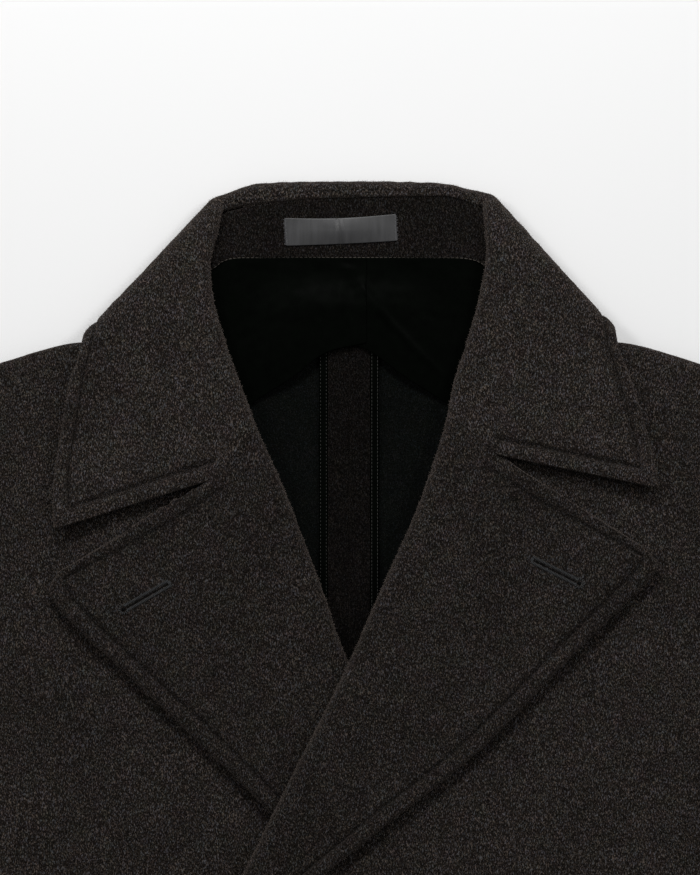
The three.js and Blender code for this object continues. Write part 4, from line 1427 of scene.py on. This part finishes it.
class COAT_OT_stitching(Operator):
    """Sews the topstitching, the neck seam's thread, the label's ends and the bindings"""

    bl_idname = "coat.stitching"
    bl_label = "Stitching"

    def execute(self, context):
        s = sizes()
        neck = on(bend([(x, y - 0.5) for x, y in STAND_LOW]), np.linspace(0.01, 0.99, 200))
        under = surface_under(bpy.data.objects["collar_stand_cloth"])
        heights = []
        for x, y in neck:
            point, normal = under(x, y + 1.1)
            heights.append(np.concatenate([(x, y + 0.6, point[2] - 0.25), (0, 0, 1)]))
        pale = shared("neck_thread", lambda name: thread_finish(name, (74, 70, 65)))
        edge = stitch_places(np.array(heights), 2.3, 0.5, stitch_share=0.98, sunk=0)
        stitch_piece("neck_seam_thread", edge, pale)
        fold = on(bend([(x * 0.94, y + 3.6) for x, y in STAND_TOP[2:-1]]), np.linspace(0, 1, 120))
        under = surface_under(bpy.data.objects["collar_cloth"])
        line = np.array([np.concatenate(under(x, y)) for x, y in fold])
        STITCHES.extend(stitch_places(line, s.stitch_pitch, s.stitch_width))
        stitch_piece("topstitching", STITCHES, topstitch_thread())
        row = []
        for side in (-1, 1):
            under = surface_under(bpy.data.objects[f"seam_binding_{WORDS[side]}_cloth"])
            start = side * (SEAM_ALLOWANCE + 0.1)
            for x in (start + side * 0.8, start + side * (BINDING_WIDTH - 0.8)):
                line = np.array([np.concatenate(under(x, y)) for y in np.linspace(-45, -300, 200)])
                row += stitch_places(line, 1.9, 0.24, stitch_share=0.6 if side < 0 else 0.9, sunk=0)
        grey = shared("binding_thread", lambda name: thread_finish(name, (64, 64, 62)))
        stitch_piece("fine_stitching", row, grey)
        under = surface_under(bpy.data.objects["label_cloth"])
        random = np.random.default_rng(5)
        ends = []
        for a, b, inward in ((0, 3, 1), (1, 2, -1)):
            for share in np.linspace(0.05, 0.95, 26):
                place = mix(LABEL_CORNERS[a], LABEL_CORNERS[b], share)
                point, normal = under(place[0] + inward * 0.8, place[1] - 0.1 + 0.2 * (share - 0.5))
                out = (-inward, random.uniform(-0.35, 0.35), -0.15)
                at = point + np.array([-inward * random.uniform(0.5, 1.1), 0, -0.05])
                ends.append(aligned(at, out, normal, (random.uniform(0.7, 1.3), 0.09, 0.09)))
        fray = shared("fray", lambda name: thread_finish(name, (96, 96, 98)))
        stitch_piece("label_fray", ends, fray)
        return {"FINISHED"}


def spike():
    bm = bmesh.new()
    bmesh.ops.create_cone(bm, cap_ends=True, segments=3, radius1=1, radius2=0, depth=1,
                          matrix=Matrix.Translation((0, 0, 0.5)))
    return bm


def nap_places(names, count, longest, random, edge_share=0.5):
    """Matrices of loose fibres on the outer faces of shells, thicker along their edges."""
    areas = []
    for name in names:
        outer = GRIDS[name]["outer"]
        sides = outer[1:, :-1] - outer[:-1, :-1], outer[:-1, 1:] - outer[:-1, :-1]
        steep = 1 - np.abs(GRIDS[name]["normal"][:-1, :-1, 2])
        spans = np.linalg.norm(np.cross(*sides), axis=-1) * (0.04 + 4 * steep)
        areas.append(spans)
    totals = np.array([a.sum() for a in areas])
    matrices = []
    for name, spans, total in zip(names, areas, totals):
        outer, normal = GRIDS[name]["outer"], GRIDS[name]["normal"]
        number = int(count * (1 - edge_share) * total / totals.sum())
        cells = random.choice(spans.size, number, p=spans.ravel() / total)
        i, j = np.unravel_index(cells, spans.shape)
        a, b = random.uniform(size=(2, number, 1))
        at = mix(mix(outer[i, j], outer[i, j + 1], a), mix(outer[i + 1, j], outer[i + 1, j + 1], a), b)
        lean = unit(normal[i, j] * 0.55 + random.normal(size=(number, 3)) * 0.6)
        matrices.append(fibre_matrices(at, lean, longest * random.uniform(0.4, 1, number)))
    borders = []
    for name in names:
        outer, normal = GRIDS[name]["outer"], GRIDS[name]["normal"]
        for line, inside in ((outer[:, -1], outer[:, -7]), (outer[0], outer[5]), (outer[-1], outer[-6]),
                             (outer[:, 0], outer[:, 5])):
            borders.append((line, unit(line - inside + 1e-9)))
    spans = [np.linalg.norm(np.diff(line, axis=0), axis=1) for line, _ in borders]
    totals = np.array([s.sum() for s in spans])
    for (line, out), span, total in zip(borders, spans, totals):
        number = int(count * edge_share * total / totals.sum())
        k = random.choice(len(span), number, p=span / total)
        share = random.uniform(size=(number, 1))
        at = mix(line[k], line[k + 1], share)
        lean = unit(out[k] + random.normal(size=(number, 3)) * 0.55)
        matrices.append(fibre_matrices(at - out[k] * 0.15, lean, longest * random.uniform(0.3, 1, number)))
    return np.concatenate(matrices)


def fibre_matrices(at, lean, reach):
    aside = unit(np.cross(lean, [0.31, 0.53, 0.79]))
    third = np.cross(lean, aside)
    width = 0.06
    matrices = np.zeros((len(at), 4, 4))
    matrices[:, :3, 0] = aside * width
    matrices[:, :3, 1] = third * width
    matrices[:, :3, 2] = lean * reach[:, None]
    matrices[:, :3, 3] = at
    matrices[:, 3, 3] = 1
    return matrices


class COAT_OT_nap(Operator):
    """Adds the loose fibres that stand off the melton's faces and edges"""

    bl_idname = "coat.nap"
    bl_label = "Nap"

    def execute(self, context):
        count, longest = context.scene.coat_nap.count, sizes().nap_length
        groups = {
            "collar_nap": ["collar_cloth", "lapel_left_cloth", "lapel_right_cloth"],
            "body_nap": ["front_left_cloth", "front_right_cloth"],
            "sleeve_nap": ["upper_sleeve_left_cloth", "upper_sleeve_right_cloth"],
        }
        finish = shared("nap", lambda name: thread_finish(name, (104, 95, 89)))
        for seed, (name, cloths) in enumerate(groups.items()):
            random = np.random.default_rng(20 + seed)
            transforms = nap_places(cloths, count, longest, random)
            finish_piece(name, copies(spike(), transforms), finish)
        return {"FINISHED"}


FRAME_HEIGHT = 455 * MM  # of the photo's view, on the coat
VIEW_CENTRE = (0.5, -93.3)
CAMERA_HEIGHT = 2.2


class COAT_OT_stage(Operator):
    """Sets the plain floor, the soft lights and the camera straight above the collar"""

    bl_idname = "coat.stage"
    bl_label = "Floor, lights and camera"

    def execute(self, context):
        scene = context.scene
        bm = bmesh.new()
        bmesh.ops.create_grid(bm, x_segments=4, y_segments=4, size=4)
        mesh = bpy.data.meshes.new("floor")
        bm.to_mesh(mesh)
        bm.free()
        finish, tree, shader = tree_of("floor_paper")
        place = make(tree, "ShaderNodeTexCoord").outputs["Object"]
        tone = linear(colours().floor)
        shade = blend(tree, noise(tree, place, 3, 1), tone, [c * 0.985 for c in tone[:3]] + [1])
        tree.links.new(shade, shader.inputs["Base Color"])
        shader.inputs["Roughness"].default_value = 0.9
        shader.inputs["Specular IOR Level"].default_value = 0.1
        mesh.materials.append(finish)
        floor = bpy.data.objects.new("floor", mesh)
        scene.collection.objects.link(floor)
        floor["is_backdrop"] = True

        world = bpy.data.worlds.new("studio")
        scene.world = world
        world.use_nodes = True
        world.node_tree.nodes["Background"].inputs["Color"].default_value = (1, 1, 1, 1)
        world.node_tree.nodes["Background"].inputs["Strength"].default_value = 0.23
        aim = Vector((0, NECK_Y + VIEW_CENTRE[1] * MM, 0))
        for name, place, size, energy in (
            ("key_light", (-0.12, 1.1, 1.15), 0.32, 14.5),
            ("left_light", (-0.9, 0.6, 1.2), 0.4, 6.6),
            ("right_light", (0.9, 0.6, 1.2), 0.4, 6.2),
            ("fill_light", (0.3, -0.1, 2.2), 1.5, 2),
        ):
            light = bpy.data.lights.new(name, "AREA")
            light.size = size
            light.energy = energy
            lamp = bpy.data.objects.new(name, light)
            lamp.location = aim + Vector(place)
            lamp.rotation_euler = (-Vector(place)).to_track_quat("-Z", "Y").to_euler()
            scene.collection.objects.link(lamp)

        camera = bpy.data.cameras.new("camera")
        camera.sensor_fit = "VERTICAL"
        camera.sensor_height = 24
        camera.lens = camera.sensor_height * CAMERA_HEIGHT / FRAME_HEIGHT
        camera.clip_start = 0.05
        eye = bpy.data.objects.new("camera", camera)
        eye.location = (VIEW_CENTRE[0] * MM, NECK_Y + VIEW_CENTRE[1] * MM, CAMERA_HEIGHT + 0.018)
        scene.collection.objects.link(eye)
        scene.camera = eye
        scene.view_settings.view_transform = "Standard"
        return {"FINISHED"}


PIECES = (
    COAT_OT_stage,
    COAT_OT_body,
    COAT_OT_collar,
    COAT_OT_lapels,
    COAT_OT_sleeves,
    COAT_OT_welts,
    COAT_OT_stand,
    COAT_OT_lining,
    COAT_OT_centre_seam,
    COAT_OT_buttons,
    COAT_OT_buttonholes,
    COAT_OT_stitching,
    COAT_OT_nap,
)


class COAT_PT_panel(Panel):
    """Lists the coat's pieces"""

    bl_idname = "COAT_PT_panel"
    bl_label = "Pea coat"
    bl_space_type = "VIEW_3D"
    bl_region_type = "UI"
    bl_category = "Coat"

    def draw(self, context):
        layout = self.layout
        for piece in PIECES:
            layout.operator(piece.bl_idname)
        scene = context.scene
        for group in (scene.coat_sizes, scene.coat_nap, scene.coat_colours):
            for name in group.__annotations__:
                layout.prop(group, name)


CLASSES = (CoatSizes, CoatNap, CoatColours, *PIECES, COAT_PT_panel)


def register():
    for cls in CLASSES:
        bpy.utils.register_class(cls)
    bpy.types.Scene.coat_sizes = PointerProperty(type=CoatSizes)
    bpy.types.Scene.coat_nap = PointerProperty(type=CoatNap)
    bpy.types.Scene.coat_colours = PointerProperty(type=CoatColours)


def unregister():
    del bpy.types.Scene.coat_colours
    del bpy.types.Scene.coat_nap
    del bpy.types.Scene.coat_sizes
    for cls in reversed(CLASSES):
        bpy.utils.unregister_class(cls)


def plain(box):
    return [[float(value) for value in corner] for corner in box]


def main():
    register()
    for piece in PIECES:
        group, name = piece.bl_idname.split(".")
        getattr(getattr(bpy.ops, group), name)()
    {"cad": plain(CAD_BOX), "visual": plain(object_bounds())}


if __name__ == "__main__":
    main()
